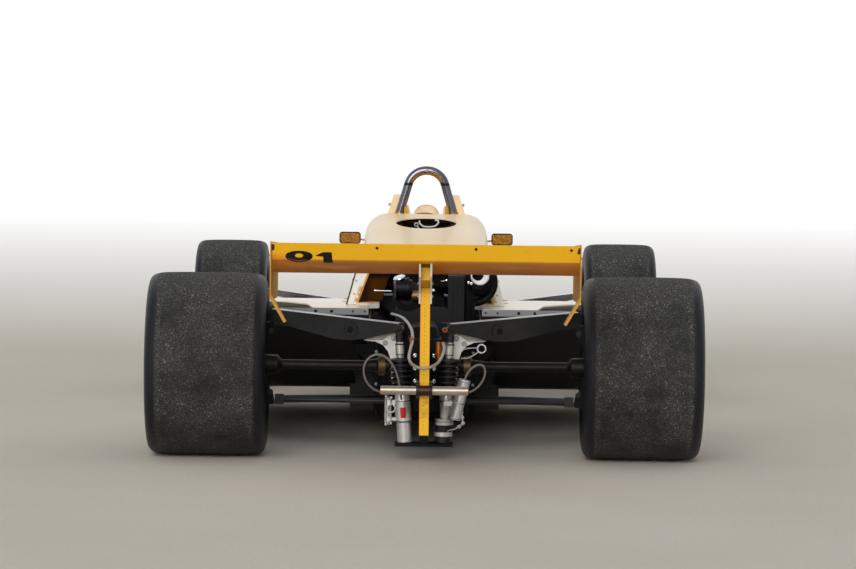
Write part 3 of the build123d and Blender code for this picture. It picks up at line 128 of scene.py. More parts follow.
class Bench:
    """A tree of nodes, and the one way to put a node in it."""

    def __init__(self, tree):
        self.tree = tree

    def node(self, kind, settings=None, sockets=None, out=0):
        node = self.tree.nodes.new(kind)
        for name, value in (settings or {}).items():
            setattr(node, name, value)
        for name, value in (sockets or {}).items():
            self.feed(node.inputs[name], value)
        return Link(self, node.outputs[out]) if len(node.outputs) else node

    def feed(self, socket, value):
        if isinstance(value, Link):
            self.tree.links.new(value.socket, socket)
        else:
            socket.default_value = value

    def mix(self, share, first, second):
        """first where share is 0, second where it is 1; each is a colour, or a tint's three numbers."""
        first, second = (tint(*side) if isinstance(side, tuple) else side for side in (first, second))
        return self.node("ShaderNodeMix", {"data_type": "RGBA"}, {0: share, 6: first, 7: second}, out=2)

    def noise(self, scale, detail=3, where=None, rough=0.5):
        sockets = {"Vector": where or self.place, "Scale": scale, "Detail": detail, "Roughness": rough}
        return self.node("ShaderNodeTexNoise", {}, sockets)

    def axis(self, name):
        """One coordinate of a place on the surface, in metres."""
        return self.node("ShaderNodeSeparateXYZ", {}, {0: self.place}, out=name)

    def stretched(self, x, y, z):
        """The place on the surface, drawn out along the axes."""
        settings = {"vector_type": "POINT"}
        return self.node("ShaderNodeMapping", settings, {"Vector": self.place, "Scale": (x, y, z)})


class Finish(Bench):
    """A material: one Principled shader and what feeds it."""

    def __init__(self, name, **constants):
        self.material = bpy.data.materials.new(name)
        self.material.use_nodes = True
        super().__init__(self.material.node_tree)
        self.shader = self.tree.nodes["Principled BSDF"]
        for key, value in constants.items():
            self.shader.inputs[key.replace("_", " ").title().replace("Ior", "IOR")].default_value = value
        self.place = self.node("ShaderNodeTexCoord", out="Object")

    def wear(self, **links):
        """Feeds the shader's own sockets."""
        for key, value in links.items():
            self.feed(self.shader.inputs[key.replace("_", " ").title()], value)
        return self

    def raised(self, height, distance, strength=1.0):
        """Turns a height into the surface's relief, its depth in metres."""
        sockets = {"Height": height, "Distance": distance, "Strength": strength}
        return self.wear(normal=self.node("ShaderNodeBump", {}, sockets))


def mottled(name, noise, pale, deep, rough, spread=None, **constants):
    """A finish that one noise, of a scale and a detail, runs between two tints and makes rougher."""
    finish = Finish(name, roughness=rough, **constants)
    finish.cloud = finish.noise(*noise)
    if spread:
        finish.wear(roughness=rough + finish.cloud * spread)
    return finish.wear(base_color=finish.mix(finish.cloud, pale, deep))


def shown(name, form, finish, body="chassis", crease=35):
    """One piece of the scene from its points and faces, riding on a body of the car."""
    mesh = bpy.data.meshes.new(name)
    mesh.from_pydata([tuple(p) for p in form[0]], [], form[1])
    mesh.validate()
    mesh.polygons.foreach_set("use_smooth", [True] * len(mesh.polygons))
    mesh.set_sharp_from_angle(angle=math.radians(crease))
    mesh.materials.append(finish.material)
    piece = bpy.data.objects.new(name, mesh)
    scene.collection.objects.link(piece)
    if body:
        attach(piece, body)
    return piece


FLOOR_REACH = 60
BACK_WALL = 34
concrete = Finish("pale floor", roughness=0.9)
blotch = concrete.noise(0.9, 4).over(0.35, 0.7)
speck = concrete.noise(60, 4, rough=0.7).over(0.4, 0.75)
ground_colour = concrete.mix(blotch * 0.5, (216, 209, 198), (206, 198, 185))
concrete.wear(base_color=concrete.mix(speck * 0.25, ground_colour, (172, 164, 152)))
concrete.raised(concrete.noise(260, 2), 0.0006)
seen = concrete.node("ShaderNodeLightPath", out="Is Camera Ray")
mirrored = concrete.node("ShaderNodeLightPath", out="Is Glossy Ray")
through = concrete.node("ShaderNodeLightPath", out="Is Transmission Ray")
far = concrete.axis("Y").over(3, 15) * (seen + mirrored + through).capped()
white = concrete.node("ShaderNodeEmission", {}, {"Color": (1, 1, 1, 1), "Strength": 1.0})
surface = Link(concrete, concrete.shader.outputs[0])
blend = concrete.node("ShaderNodeMixShader", {}, {0: far, 1: surface, 2: white})
concrete.feed(concrete.tree.nodes["Material Output"].inputs["Surface"], blend)
BEND_START, BEND_RADIUS, BEND_STEP, WALL_TOP = 24, 10, 0.1745, 40.0
bend = [(y, 0.0) for y in (-FLOOR_REACH, 0, 12, BEND_START)]
for k in range(1, 10):
    along, rise = math.sin(k * BEND_STEP), 1 - math.cos(k * BEND_STEP)
    bend.append((BEND_START + BEND_RADIUS * along, BEND_RADIUS * rise))
bend += [(BACK_WALL, WALL_TOP)]
floor_points = [(x, y, z) for y, z in bend for x in (-FLOOR_REACH, FLOOR_REACH)]
floor_faces = [(2 * i, 2 * i + 1, 2 * i + 3, 2 * i + 2) for i in range(len(bend) - 1)]
floor = shown("floor", (floor_points, floor_faces), concrete, None)

sky = bpy.data.worlds.new("sky")
scene.world = sky
sky.use_nodes = True
daylight = sky.node_tree.nodes["Background"]
daylight.inputs["Color"].default_value = (0.93, 0.97, 1.0, 1)
daylight.inputs["Strength"].default_value = 0.5


def lamp(name, strength, softness, toward, colour):
    """A far lamp whose light falls in one direction."""
    light = bpy.data.lights.new(name, "SUN")
    light.energy, light.angle, light.color = strength, math.radians(softness), colour
    place = bpy.data.objects.new(name, light)
    place.rotation_mode = "QUATERNION"
    place.rotation_quaternion = Vector(toward).to_track_quat("-Z", "Y")
    scene.collection.objects.link(place)


lamp("key", 3.3, 2, (0.228, -0.883, -0.818), (1.0, 0.97, 0.92))
lamp("fill", 1.55, 40, (0.22, 1.0, -0.42), (1.0, 0.98, 0.96))


# Tub
# A riveted aluminium box from the fuel bay to the pedals, its floor and walls hollow, in bare metal inside.
# The upper strip of its sides, which shows between the side pods and the cockpit, is painted with the body,
# and its rear bulkhead, behind the seat, is painted near black as painted shade.
def dress(finish, *nodes):
    """Gives the car's own solids their finish."""
    for name in nodes:
        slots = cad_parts[name].data.materials
        slots.clear()
        slots.append(finish.material)


def pair(*stems):
    """The left and right node of each name."""
    return [f"{stem}_{side}" for stem in stems for side in ("left", "right")]


def joined(forms):
    """Several forms, each of points and faces, as one."""
    points, faces = [], []
    for more_points, more_faces in forms:
        start = len(points)
        points += more_points
        faces += [tuple(start + i for i in face) for face in more_faces]
    return points, faces


def wrapped(n, rings):
    """The faces between closed rings of n points each."""
    corners = ((0, 0), (0, 1), (1, 1), (1, 0))
    faces = []
    for row in range(rings - 1):
        faces += [tuple((row + up) * n + (i + on) % n for up, on in corners) for i in range(n)]
    return faces


def turned(profile, centre, axis, segments):
    """An outline of (place along the axis, radius) turned about that axis."""
    axis = Vector(axis).normalized()
    side = axis.cross((0, 0, 1) if abs(axis.z) < 0.9 else (1, 0, 0)).normalized()
    other = axis.cross(side)
    points, faces = [], []
    for k in range(segments):
        a = 2 * math.pi * (k + 0.5) / segments
        out = side * math.cos(a) + other * math.sin(a)
        points += [Vector(centre) + axis * along + out * radius for along, radius in profile]
    n = len(profile)
    for k in range(segments):
        here, there = k * n, (k + 1) % segments * n
        faces += [(here + i, here + i + 1, there + i + 1, there + i) for i in range(n - 1)]
    return points, faces


TO_REAR = (0, -1, 0)


def rivet(place, axis, radius):
    """A low domed head."""
    head = [(0, radius), (radius * 0.4, radius * 0.8), (radius * 0.6, radius * 0.02)]
    return turned(head, place, axis, 8)


def bolt(place, axis, radius, height):
    """A six sided head with a dished top on a round washer."""
    washer = [(0, radius * 1.4), (height * 0.22, radius * 1.4), (height * 0.26, radius * 0.9)]
    head = [(height * 0.2, radius), (height * 0.9, radius), (height, radius * 0.86), (height, radius * 0.4)]
    head += [(height * 0.86, radius * 0.02)]
    return joined([turned(washer, place, axis, 16), turned(head, place, axis, 6)])


def collar(half, inner, outer):
    """The outline of a ring that lies half its height to each side of its place."""
    return [(-half, inner), (-half, outer), (half, outer), (half, inner)]


def eyelet(inner, outer, height):
    """The outline of a ring that stands on its place, closed all round."""
    return [(0, inner), (0, outer), (height, outer), (height, inner), (0, inner)]


def sided(outline, sign):
    """An outline of the right side, or its mirror image for the left."""
    return outline if sign > 0 else [(-u, v) for u, v in reversed(outline)]


def body_side(y, z):
    """A place on the body's lower side, and the way that side faces, at a place along the car."""
    rows = ((-0.185, 0.290, 0.500, 0.240, 0.700), (0.150, 0.290, 0.500, 0.262, 0.590))
    rows += ((0.620, 0.290, 0.500, 0.250, 0.580), (1.050, 0.237, 0.450, 0.200, 0.510))
    rows += ((1.480, 0.185, 0.400, 0.165, 0.425),)
    for rear, front in zip(rows, rows[1:]):
        if rear[0] <= y <= front[0]:
            share = (y - rear[0]) / (front[0] - rear[0])
            half, base, shoulder, height = [a + share * (b - a) for a, b in zip(rear[1:], front[1:])]
    slope = (half - shoulder) / (height - base)
    return Vector((half - slope * (z - base), y, z)), Vector((1, 0, slope)).normalized()


def mirrored_both(forms_of_side):
    """The same forms on the right and the left."""
    return joined([form for sign in (1, -1) for form in forms_of_side(sign)])


sheet_alloy = Finish("tub sheet", metallic=0.85, roughness=0.4)
patina = sheet_alloy.noise(7, 5)
outside = abs(sheet_alloy.axis("X")).over(0.176, 0.178) * sheet_alloy.axis("Z").over(0.36, 0.361)
bare = sheet_alloy.mix(patina, (176, 178, 180), (142, 143, 146))
bulkhead = sheet_alloy.axis("Y").under(-0.130, -0.120)
skinned = sheet_alloy.mix(outside, bare, (240, 224, 194))
painted_or_bare = (outside + bulkhead).capped()
# The rear bulkhead's near black is painted shade, not a paint of the tub.
painted_shade_black = sheet_alloy.mix(patina, (24, 24, 25), (36, 35, 34))
sheet_alloy.wear(
    base_color=sheet_alloy.mix(bulkhead, skinned, painted_shade_black),
    roughness=0.3 + patina * 0.25,
    metallic=0.85 - painted_or_bare * 0.85,
)
sheet_alloy.raised(sheet_alloy.noise(70, 3, sheet_alloy.stretched(1, 0.1, 1)), 0.0003)
dress(sheet_alloy, "monocoque_tub")


def tub_rivets(sign):
    rows = []
    for i in range(21):
        y = 0.640 + i * 0.040
        share = (y - 0.620) / 0.860
        half = 0.290 - share * 0.105
        for z in (0.488 - share * 0.100, 0.300):
            rows.append(rivet((sign * (half - 0.0002), y, z), (sign, 0, 0), 0.0035))
    return rows


pin = mottled("rivet head", (90, 3), (182, 180, 176), (128, 124, 118), 0.32, 0.2, metallic=0.8)
shown("tub_rivets", mirrored_both(tub_rivets), pin)


# Bodywork
# Glass fibre shells in cream gelcoat: cockpit surround, nose, side pods and engine cover. Slotted turn
# fasteners hold their lower edges, and toggle latches the cover. Alloy strips trim the pods' rear edges.
def gelcoat(name, pale, deep):
    """Polished cream gelcoat, a little warmer and duller where hands and dust have been."""
    coat = Finish(name, coat_weight=0.2, coat_roughness=0.12)
    cloud = coat.noise(2.2, 5).over(0.3, 0.75)
    dust = coat.noise(19, 6, rough=0.65).over(0.55, 0.8)
    streak = coat.noise(9, 5, coat.stretched(1, 0.12, 1), 0.6).over(0.58, 0.8)
    body = coat.mix(streak * 0.2, coat.mix(cloud * 0.6, pale, deep), (214, 190, 150))
    coat.skin = coat.mix(dust * 0.12, body, (196, 176, 146))
    coat.wear(base_color=coat.skin, roughness=0.3 + dust * 0.2 + cloud * 0.08)
    return coat.raised(coat.noise(420, 2) * 0.4 + coat.noise(35, 2), 0.00025)


cream = gelcoat("cream gelcoat", (250, 226, 184), (243, 207, 156))
dress(cream, "cockpit_surround", "nose_cone")

# The cover's rear flange and feet are painted paler as painted light, with an amber inner edge, a painted
# warm glow beside that edge on the legs, and a black seal along its left leg.
COVER_REAR = -0.735
cover_cream = gelcoat("cover gelcoat", (255, 231, 192), (252, 217, 170))
flange = cover_cream.axis("Y").under(COVER_REAR + 0.001, COVER_REAR + 0.0015)
foot = cover_cream.axis("Y").under(-0.62, -0.61) * cover_cream.axis("Z").under(0.5085, 0.5090)
leg_x, leg_z = cover_cream.axis("X"), cover_cream.axis("Z")
from_edge = abs(leg_x) - 0.256 + (leg_z - 0.4993) * 0.3696
amber = from_edge.under(0.0065, 0.0085) * leg_z.over(0.500, 0.510)
glow_speckle = cover_cream.noise(60, 3).over(0.35, 0.5)
painted_warm_glow = from_edge.under(0.014, 0.024) * leg_z.within(0.514, 0.566, 0.006) * glow_speckle
seal = (leg_x + 0.294 - (leg_z - 0.5003) * 0.272).under(-0.0005, 0.0005)
pale_flange = cover_cream.mix((amber + painted_warm_glow * 0.8).over(0, 1), (255, 251, 240), (214, 148, 62))
pale_flange = cover_cream.mix(seal, pale_flange, (26, 24, 24))
cover_cream.wear(base_color=cover_cream.mix((flange + foot).over(0, 1), cover_cream.skin, pale_flange))
dress(cover_cream, "engine_cover")

deck_cream = Finish("deck gelcoat", coat_weight=0.3, coat_roughness=0.12)
cloud = deck_cream.noise(2.6, 5).over(0.3, 0.75)
rear_edge = deck_cream.axis("Y").under(-0.86, -0.60)
strip = deck_cream.axis("Y").under(-0.9125, -0.9115) * deck_cream.axis("Z").under(0.4982, 0.4990)
skin = deck_cream.mix(cloud * 0.6, (254, 247, 230), (248, 236, 208))
skin = deck_cream.mix(rear_edge * 0.3, skin, (246, 222, 140))
deck_cream.wear(
    base_color=deck_cream.mix(strip, skin, (150, 152, 156)),
    roughness=0.32 + cloud * 0.1,
    metallic=strip * 0.8,
)
deck_cream.raised(deck_cream.noise(420, 2) * 0.4 + deck_cream.noise(35, 2), 0.00025)
dress(deck_cream, *pair("sidepod"))

clear = {"transmission_weight": 0.85, "ior": 1.45}
screen = mottled("smoked screen", (30, 3), (150, 140, 120), (120, 112, 98), 0.05, 0.1, **clear)
dress(screen, "windscreen")


def turn_fastener(place, axis):
    """A dished round head with a raised slot across it."""
    place, axis = Vector(place), Vector(axis).normalized()
    head = [(0, 0.0085), (0.0012, 0.0082), (0.0012, 0.0066), (0.0004, 0.0058), (0.0004, 0.0001)]
    across = axis.cross((0, 1, 0) if abs(axis.y) < 0.9 else (1, 0, 0)).normalized() * 0.0048
    along = axis.cross(across).normalized() * 0.0009
    low = [place + axis * 0.0003 + a * across + b * along for a, b in ((-1, -1), (1, -1), (1, 1), (-1, 1))]
    high = [p + axis * 0.0011 for p in low]
    sides = [(i, (i + 1) % 4, 4 + (i + 1) % 4, 4 + i) for i in range(4)]
    return joined([turned(head, place, axis, 18), (low + high, sides + [(4, 5, 6, 7)])])


def body_fasteners(sign):
    heads = []
    for y in (-0.130, 0.060, 0.260, 0.460, 0.660, 0.860, 1.060, 1.260, 1.430):
        base = 0.500 if y <= 0.620 else 0.500 - (y - 0.620) * 0.1163
        place, way = body_side(y, base + 0.016)
        heads.append(turn_fastener((sign * place.x, y, place.z), (sign * way.x, 0, way.z)))
    for y in (-0.240, -0.380, -0.520, -0.680):
        half = 0.2865 + (-0.185 - y) * 0.0165
        heads.append(turn_fastener((sign * half, y, 0.517), (sign, 0, 0.2)))
    for x, z in ((0.2700, 0.540), (0.2610, 0.590)):
        heads.append(rivet((sign * x, COVER_REAR, z), TO_REAR, 0.0035))
    for y in (-0.500, -0.300, -0.100, 0.100, 0.300, 0.500):
        if y <= -0.300:
            top, slope = 0.490 - (y + 0.300) * 0.01626, 0.016
        elif y <= 0.120:
            top, slope = 0.490 - (y + 0.300) * 0.06667, 0.067
        else:
            top, slope = 0.462 - (y - 0.120) * 0.141, 0.141
        heads.append(turn_fastener((sign * 0.310, y, top + 0.0002), (0, slope, 1)))
    for y, half, high in ((1.500, 0.1835, 0.262), (1.700, 0.174, 0.235)):
        heads.append(turn_fastener((sign * half, y, high), (1 * sign, 0.05, 0)))
    return heads


shown("body_fasteners", mirrored_both(body_fasteners), pin)


def slab(outline, low, high, place, soft=0.0006):
    """A plate from its outline, with softened edges; place(u, v, height) gives each point."""
    n = len(outline)
    middle = Vector((sum(u for u, v in outline) / n, sum(v for u, v in outline) / n))
    inset = []
    for u, v in outline:
        toward = middle - Vector((u, v))
        inset.append(Vector((u, v)) + toward.normalized() * min(soft * 1.3, toward.length * 0.3))
    rings = ((inset, low), (outline, low + soft), (outline, high - soft), (inset, high))
    points = [Vector(place(u, v, height)) for ring, height in rings for u, v in ring]
    return points, wrapped(n, 4) + [tuple(range(n - 1, -1, -1)), tuple(range(3 * n, 4 * n))]


def flat_y(u, v, height):
    """Outline in X and Z, thick towards the rear."""
    return (u, -height, v)


def brick(low, high, soft=0.0012):
    """A small block with softened edges."""
    outline = [(low[0], low[2]), (high[0], low[2]), (high[0], high[2]), (low[0], high[2])]
    return slab(outline, -high[1], -low[1], flat_y, soft)


def latch(sign):
    """Toggle latch over the joint between cover and surround."""
    x = 0.2757 * sign
    low, high = min(x, x + sign * 0.006), max(x, x + sign * 0.006)
    plate = brick((low, -0.235, 0.548), (high, -0.196, 0.566))
    low, high = min(x, x + sign * 0.010), max(x, x + sign * 0.010)
    lever = brick((low, -0.228, 0.552), (high, -0.160, 0.562), 0.002)
    return [plate, lever, rivet((x + sign * 0.006, -0.230, 0.557), (sign, 0, 0), 0.003)]


shown("latches", mirrored_both(latch), pin)


def smoothed(points, passes=2):
    """Cuts the corners off an open line until it runs smoothly."""
    points = [Vector(p) for p in points]
    for _ in range(passes):
        cut = [points[0]]
        for a, b in zip(points, points[1:]):
            cut += [a * 0.75 + b * 0.25, a * 0.25 + b * 0.75]
        points = cut + [points[-1]]
    return points


def tube(route, radius, sides=12, passes=2):
    """A pipe or rod of one radius along a smoothed route, with flat ends."""
    line = smoothed(route, passes)
    points, side = [], Vector((0, 0, 1))
    for i, here in enumerate(line):
        run = (line[min(i + 1, len(line) - 1)] - line[max(i - 1, 0)]).normalized()
        if abs(run.dot(side)) > 0.95:
            side = Vector((1, 0, 0))
        side = (side - run * side.dot(run)).normalized()
        other = run.cross(side)
        for k in range(sides):
            a = 2 * math.pi * k / sides
            points.append(here + (side * math.cos(a) + other * math.sin(a)) * radius)
    last = (len(line) - 1) * sides
    ends = [tuple(range(sides - 1, -1, -1)), tuple(range(last, last + sides))]
    return points, wrapped(sides, len(line)) + ends


STRIP_REAR = -0.9150


def pod_ends(sign):
    """Outer length of the alloy strip along the deck's rear edge."""
    low, high = sorted((sign * 0.4195, sign * 0.5450))
    return [brick((low, STRIP_REAR, 0.4750), (high, STRIP_REAR + 0.003, 0.4978), 0.0005)]


strip_alloy = mottled("strip alloy", (40, 4), (156, 158, 162), (128, 130, 134), 0.34, 0.15, metallic=0.8)
shown("pod_strip_ends", mirrored_both(pod_ends), strip_alloy)


# Inside of the engine cover
# Bare brown fibre: a lining under the shell, cut away at the oval vent, and a flare that leads in from the
# arched rear edge. A white hose crosses under the vent, before a felted black box and the firewall.
fibre = Finish("bare brown fibre")
mat = fibre.noise(60, 5, rough=0.7)
# Near the rear opening the lining is painted pale amber: painted light falling in at the mouth.
rear_part = fibre.axis("Y").under(-0.70, -0.45)
inside = fibre.mix(mat.over(0.3, 0.7), (104, 66, 28), (52, 33, 16))
near_mouth = fibre.mix(mat, (206, 146, 66), (150, 96, 38))
fibre.wear(base_color=fibre.mix(rear_part, inside, near_mouth), roughness=0.4 + mat * 0.3)
fibre.raised(mat, 0.0008)


def arch(y, rows):
    """A line over the engine at one place along the car, from the corners of its right half."""
    right = [Vector(p) for p in rows]
    line = right + [Vector((0.0, rows[-1][1]))] + [Vector((-p.x, p.y)) for p in reversed(right)]
    return [(p.x, y, p.y) for p in smoothed(line, 3)]


VENT_Y, VENT_HALF_W, VENT_HALF_L = -0.350, 0.125, 0.108


def over_vent(face):
    """Whether a face of the lining lies across the vent."""
    x, y, z = face.calc_center_median()
    return z > 0.7 and (x / VENT_HALF_W) ** 2 + ((y - VENT_Y) / VENT_HALF_L) ** 2 < 1


lining = arch(-0.192, ((0.280, 0.502), (0.236, 0.690), (0.214, 0.798)))
lining += arch(-0.726, ((0.290, 0.502), (0.256, 0.632), (0.196, 0.710)))
width = len(lining) // 2
arch_faces = [(i, i + 1, width + i + 1, width + i) for i in range(width - 1)]
lining_piece = shown("cover_lining", (lining, arch_faces), fibre, crease=60)
cut = bmesh.new()
cut.from_mesh(lining_piece.data)
long_edges = [e for e in cut.edges if abs(e.verts[0].co.y - e.verts[1].co.y) > 0.1]
bmesh.ops.subdivide_edges(cut, edges=long_edges, cuts=24)
bmesh.ops.delete(cut, geom=[f for f in cut.faces if over_vent(f)], context="FACES")
cut.to_mesh(lining_piece.data)
cut.free()

flare = arch(-0.7305, ((0.254, 0.502), (0.204, 0.640), (0.157, 0.678)))
flare += arch(-0.560, ((0.165, 0.502), (0.140, 0.600), (0.105, 0.640)))
flare_fibre = Finish("flare fibre", roughness=0.6, specular_ior_level=0.3)
lay = flare_fibre.noise(26, 5, rough=0.65)
lit = flare_fibre.axis("Z").within(0.515, 0.585, 0.020) * abs(flare_fibre.axis("X")).under(0.190, 0.225)
brown = flare_fibre.mix(lay.over(0.3, 0.7), (92, 54, 24), (46, 28, 14))
flare_fibre.wear(
    base_color=flare_fibre.mix(lit * 0.75, brown, (186, 112, 42)),
    roughness=0.45 + lay * 0.3,
)
flare_fibre.raised(lay, 0.0006)
shown("cover_flare", (flare, arch_faces), flare_fibre, crease=60)

white_hose = mottled("white hose", (50, 3), (236, 234, 228), (206, 202, 194), 0.4)
vent_loop = [(-0.0270, -0.266, 0.7960), (-0.0260, -0.268, 0.7850), (-0.0120, -0.270, 0.7725)]
vent_loop += [(0.0060, -0.270, 0.7710), (0.0330, -0.270, 0.7730), (0.0480, -0.268, 0.7860)]
vent_loop += [(0.0460, -0.266, 0.7985), (0.0340, -0.264, 0.7970)]
vent_tail = [(-0.0240, -0.266, 0.7590), (-0.0300, -0.267, 0.7680), (-0.0340, -0.266, 0.7730)]
knot_ring = [(0, 0.0040), (-0.003, 0.0065), (0.003, 0.0085), (0.006, 0.0060), (0, 0.0040)]
vent_knot = turned(knot_ring, (-0.0385, -0.266, 0.7800), TO_REAR, 24)
vent_parts = [tube(vent_loop, 0.0034, 12, 3), tube(vent_tail, 0.0024, 8, 2), vent_knot]
shown("vent_hose", joined(vent_parts), white_hose)

soot_box = mottled("airbox", (120, 4), (16, 16, 16), (34, 33, 32), 0.6, specular_ior_level=0.15)
soot_box.raised(soot_box.cloud, 0.0006)
shown("airbox", brick((-0.150, -0.460, 0.545), (0.150, -0.205, 0.742), 0.012), soot_box)
wall_half = [(0.268, 0.508), (0.230, 0.690), (0.212, 0.780), (0.180, 0.806)]
wall = wall_half + sided(wall_half, -1)


def pod_baffle(sign):
    """Black sheet that closes the pod under its deck."""
    low, high = sorted((sign * 0.2155, sign * 0.4190))
    return [brick((low, -0.9080, 0.4020), (high, -0.9060, 0.4738), 0.0006)]


def strip_bolt(sign):
    return [bolt((sign * x, STRIP_REAR, 0.4862), TO_REAR, 0.0042, 0.004) for x in (0.3495, 0.4093)]


shown("pod_baffles", mirrored_both(pod_baffle), soot_box)
shown("strip_bolts", mirrored_both(strip_bolt), soot_box)
shown("firewall", slab(wall, 0.1970, 0.2000, flat_y, 0.0006), soot_box)


# Seat and headrest
# A thin moulded bucket with upright bolsters and sewn channels, in dull black hide, and a small
# half round rest in cream hide that sits against the hoop's cross tube.
def plumped(name, node, narrow, finish, cap, channels):
    """A padded piece from a solid's outline: drawn in a little, blown up as cloth, then sewn."""
    low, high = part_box(node)
    middle = (low + high) / 2
    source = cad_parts[node]
    form = bmesh.new()
    form.from_mesh(source.data)
    form.transform(source.matrix_world)
    for v in form.verts:
        v.co = Vector([m + (c - m) * s for c, m, s in zip(v.co, middle, narrow)])
    mesh = bpy.data.meshes.new(name)
    form.to_mesh(mesh)
    form.free()
    piece = bpy.data.objects.new(name, mesh)
    scene.collection.objects.link(piece)
    mesh.materials.clear()
    mesh.materials.append(finish.material)
    bpy.context.view_layer.objects.active = piece
    piece.select_set(True)
    remesh = piece.modifiers.new("even faces", "REMESH")
    remesh.mode, remesh.voxel_size = "VOXEL", 0.006
    bpy.ops.object.modifier_apply(modifier=remesh.name)
    start = [v.co.copy() for v in piece.data.vertices]
    cloth = piece.modifiers.new("stuffing", "CLOTH")
    cloth.settings.use_pressure = True
    cloth.settings.uniform_pressure_force = 4
    cloth.settings.effector_weights.gravity = 0
    for step in range(1, 21):
        scene.frame_set(step)
    bpy.ops.object.modifier_apply(modifier=cloth.name)
    scene.frame_set(1)
    for v, before in zip(piece.data.vertices, start):
        moved = v.co - before
        v.co = before + moved.normalized() * min(moved.length, cap)
    for v in piece.data.vertices:
        depth = channels(v.co, v.normal)
        v.co -= v.normal * depth
        v.co = Vector([min(max(c, a + 0.0005), b - 0.0005) for c, a, b in zip(v.co, low, high)])
    smooth = piece.modifiers.new("finer faces", "SUBSURF")
    smooth.levels = smooth.render_levels = 1
    piece.data.polygons.foreach_set("use_smooth", [True] * len(piece.data.polygons))
    piece.select_set(False)
    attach(piece, "chassis")
    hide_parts(node)
    return piece


hide = mottled("black hide", (9, 4), (30, 29, 29), (52, 49, 46), 0.5, 0.25)
grain = hide.node("ShaderNodeTexVoronoi", {"feature": "F1"}, {"Vector": hide.place, "Scale": 420.0})
hide.raised(grain, 0.0004)
pale_hide = Finish("cream hide")
cells = {"Vector": pale_hide.place, "Scale": 380.0}
wrinkles = pale_hide.node("ShaderNodeTexVoronoi", {"feature": "F1"}, cells)
dirt = pale_hide.noise(24, 5)
rest_x, rest_z = pale_hide.axis("X") + 0.007, pale_hide.axis("Z") - 0.811
# A dark patch under the rest's lower edge is painted shadow.
painted_shadow_under_rest = (rest_x * rest_x * 560 + rest_z * rest_z * 11000).under(0.9, 1.0)
painted_shadow_under_rest = painted_shadow_under_rest * pale_hide.axis("Y").under(-0.118, -0.112)
worn_hide = pale_hide.mix(dirt.over(0.35, 0.75), (244, 218, 184), (222, 190, 152))
pale_hide.wear(
    base_color=pale_hide.mix(painted_shadow_under_rest * 0.92, worn_hide, (28, 20, 12)),
    roughness=0.5 + dirt * 0.2,
)
pale_hide.raised(wrinkles, 0.0004)


def seat_channels(place, way):
    """Channels sewn across the back and the base, 70 mm apart, between the bolsters."""
    if abs(place.x) > 0.150:
        return 0.0
    along = place.z * 1.1 if place.y < 0.02 else place.y * 1.1
    gap = abs(along / 0.070 - round(along / 0.070)) * 0.070
    return 0.006 * max(0.0, 1 - gap / 0.011) ** 2


def rest_channels(place, way):
    """A piped seam round the rim."""
    edge = abs(place.y + 0.108)
    return 0.003 * max(0.0, 1 - edge / 0.005) if abs(way.y) < 0.6 else 0.0


plumped("seat_pad", "seat", (0.985, 0.99, 0.985), hide, 0.006, seat_channels)
plumped("headrest_pad", "headrest", (0.96, 0.90, 0.97), pale_hide, 0.006, rest_channels)


# Roll hoop
# One bent tube of bright plated steel, its cross tube painted black. Its legs pass through fairings moulded
# on the surround, in gold anodised sleeves with a tab inward, each held by a bolt from outside.
plate = mottled("bright plating", (16, 4), (176, 174, 178), (136, 132, 134), 0.1, 0.16, metallic=1.0)
hoop_steel = Finish("hoop plating")
smear = hoop_steel.noise(16, 4)
brace = hoop_steel.axis("Z").under(0.7755, 0.7765) * abs(hoop_steel.axis("X")).under(0.0985, 0.0995)
bright_tube = hoop_steel.mix(smear, (150, 148, 160), (104, 102, 116))
crown_x, crown_z = hoop_steel.axis("X"), hoop_steel.axis("Z") - 0.9115
from_crown = (crown_x * crown_x + crown_z * crown_z) ** 0.5
# A gold band along the inside of the hoop's top is painted reflection.
painted_gold_reflection = from_crown.within(0.0600, 0.0715, 0.002) * crown_z.over(0.0265, 0.0300)
crown_band = crown_z.within(0.0165, 0.0265)
bright_tube = hoop_steel.mix(painted_gold_reflection * 0.85, bright_tube, (206, 146, 58))
bright_tube = hoop_steel.mix(crown_band * 0.85, bright_tube, (34, 30, 36))
hoop_steel.wear(
    base_color=hoop_steel.mix(brace, bright_tube, (20, 20, 21)),
    roughness=0.1 + smear * 0.16 + brace * 0.4,
    metallic=1 - brace,
)
dress(hoop_steel, "roll_hoop")
gold = mottled("gold anodising", (40, 4), (206, 158, 62), (150, 108, 36), 0.28, 0.2, metallic=0.85)
HOOP_Y, HOOP_TOP = -0.150, 0.986


def hoop_leg(z):
    """Half width between the hoop's legs at a height."""
    return 0.056 + 0.29 * (HOOP_TOP - z)


def hoop_sleeves(sign):
    low = Vector((sign * hoop_leg(0.800), HOOP_Y, 0.800))
    high = Vector((sign * hoop_leg(0.822), HOOP_Y, 0.822))
    run = (high - low).length
    ring = [(0, 0.0174), (0, 0.0186), (run, 0.0186), (run, 0.0174)]
    tab = sided([(0.0700, 0.800), (0.0880, 0.800), (0.0860, 0.846), (0.0740, 0.846)], sign)
    return [turned(ring, low, high - low, 28), slab(tab, 0.1650, 0.1675, flat_y, 0.0010)]


def hoop_bolts(sign):
    return [bolt((sign * 0.1405, HOOP_Y + 0.022, 0.850), (sign, 0, 0.25), 0.005, 0.008)]


shown("hoop_sleeves", mirrored_both(hoop_sleeves), gold)
crown_bolt = bolt((0, HOOP_Y - 0.0168, HOOP_TOP), TO_REAR, 0.0042, 0.005)
hoop_fixings = joined([mirrored_both(hoop_bolts), crown_bolt])
shown("hoop_bolts", hoop_fixings, pin)


# Steering
# A small rim wound in black hide with bare alloy spokes on a bare column, a ground rack bar with its tie
# rods, and three round dials without lettering on a black board ahead of the rim.
steel = mottled("ground steel", (30, 5), (150, 150, 152), (112, 110, 108), 0.28, 0.25, metallic=1.0)
steel.raised(steel.noise(300, 2), 0.0001)
dress(steel, "steering_rack")

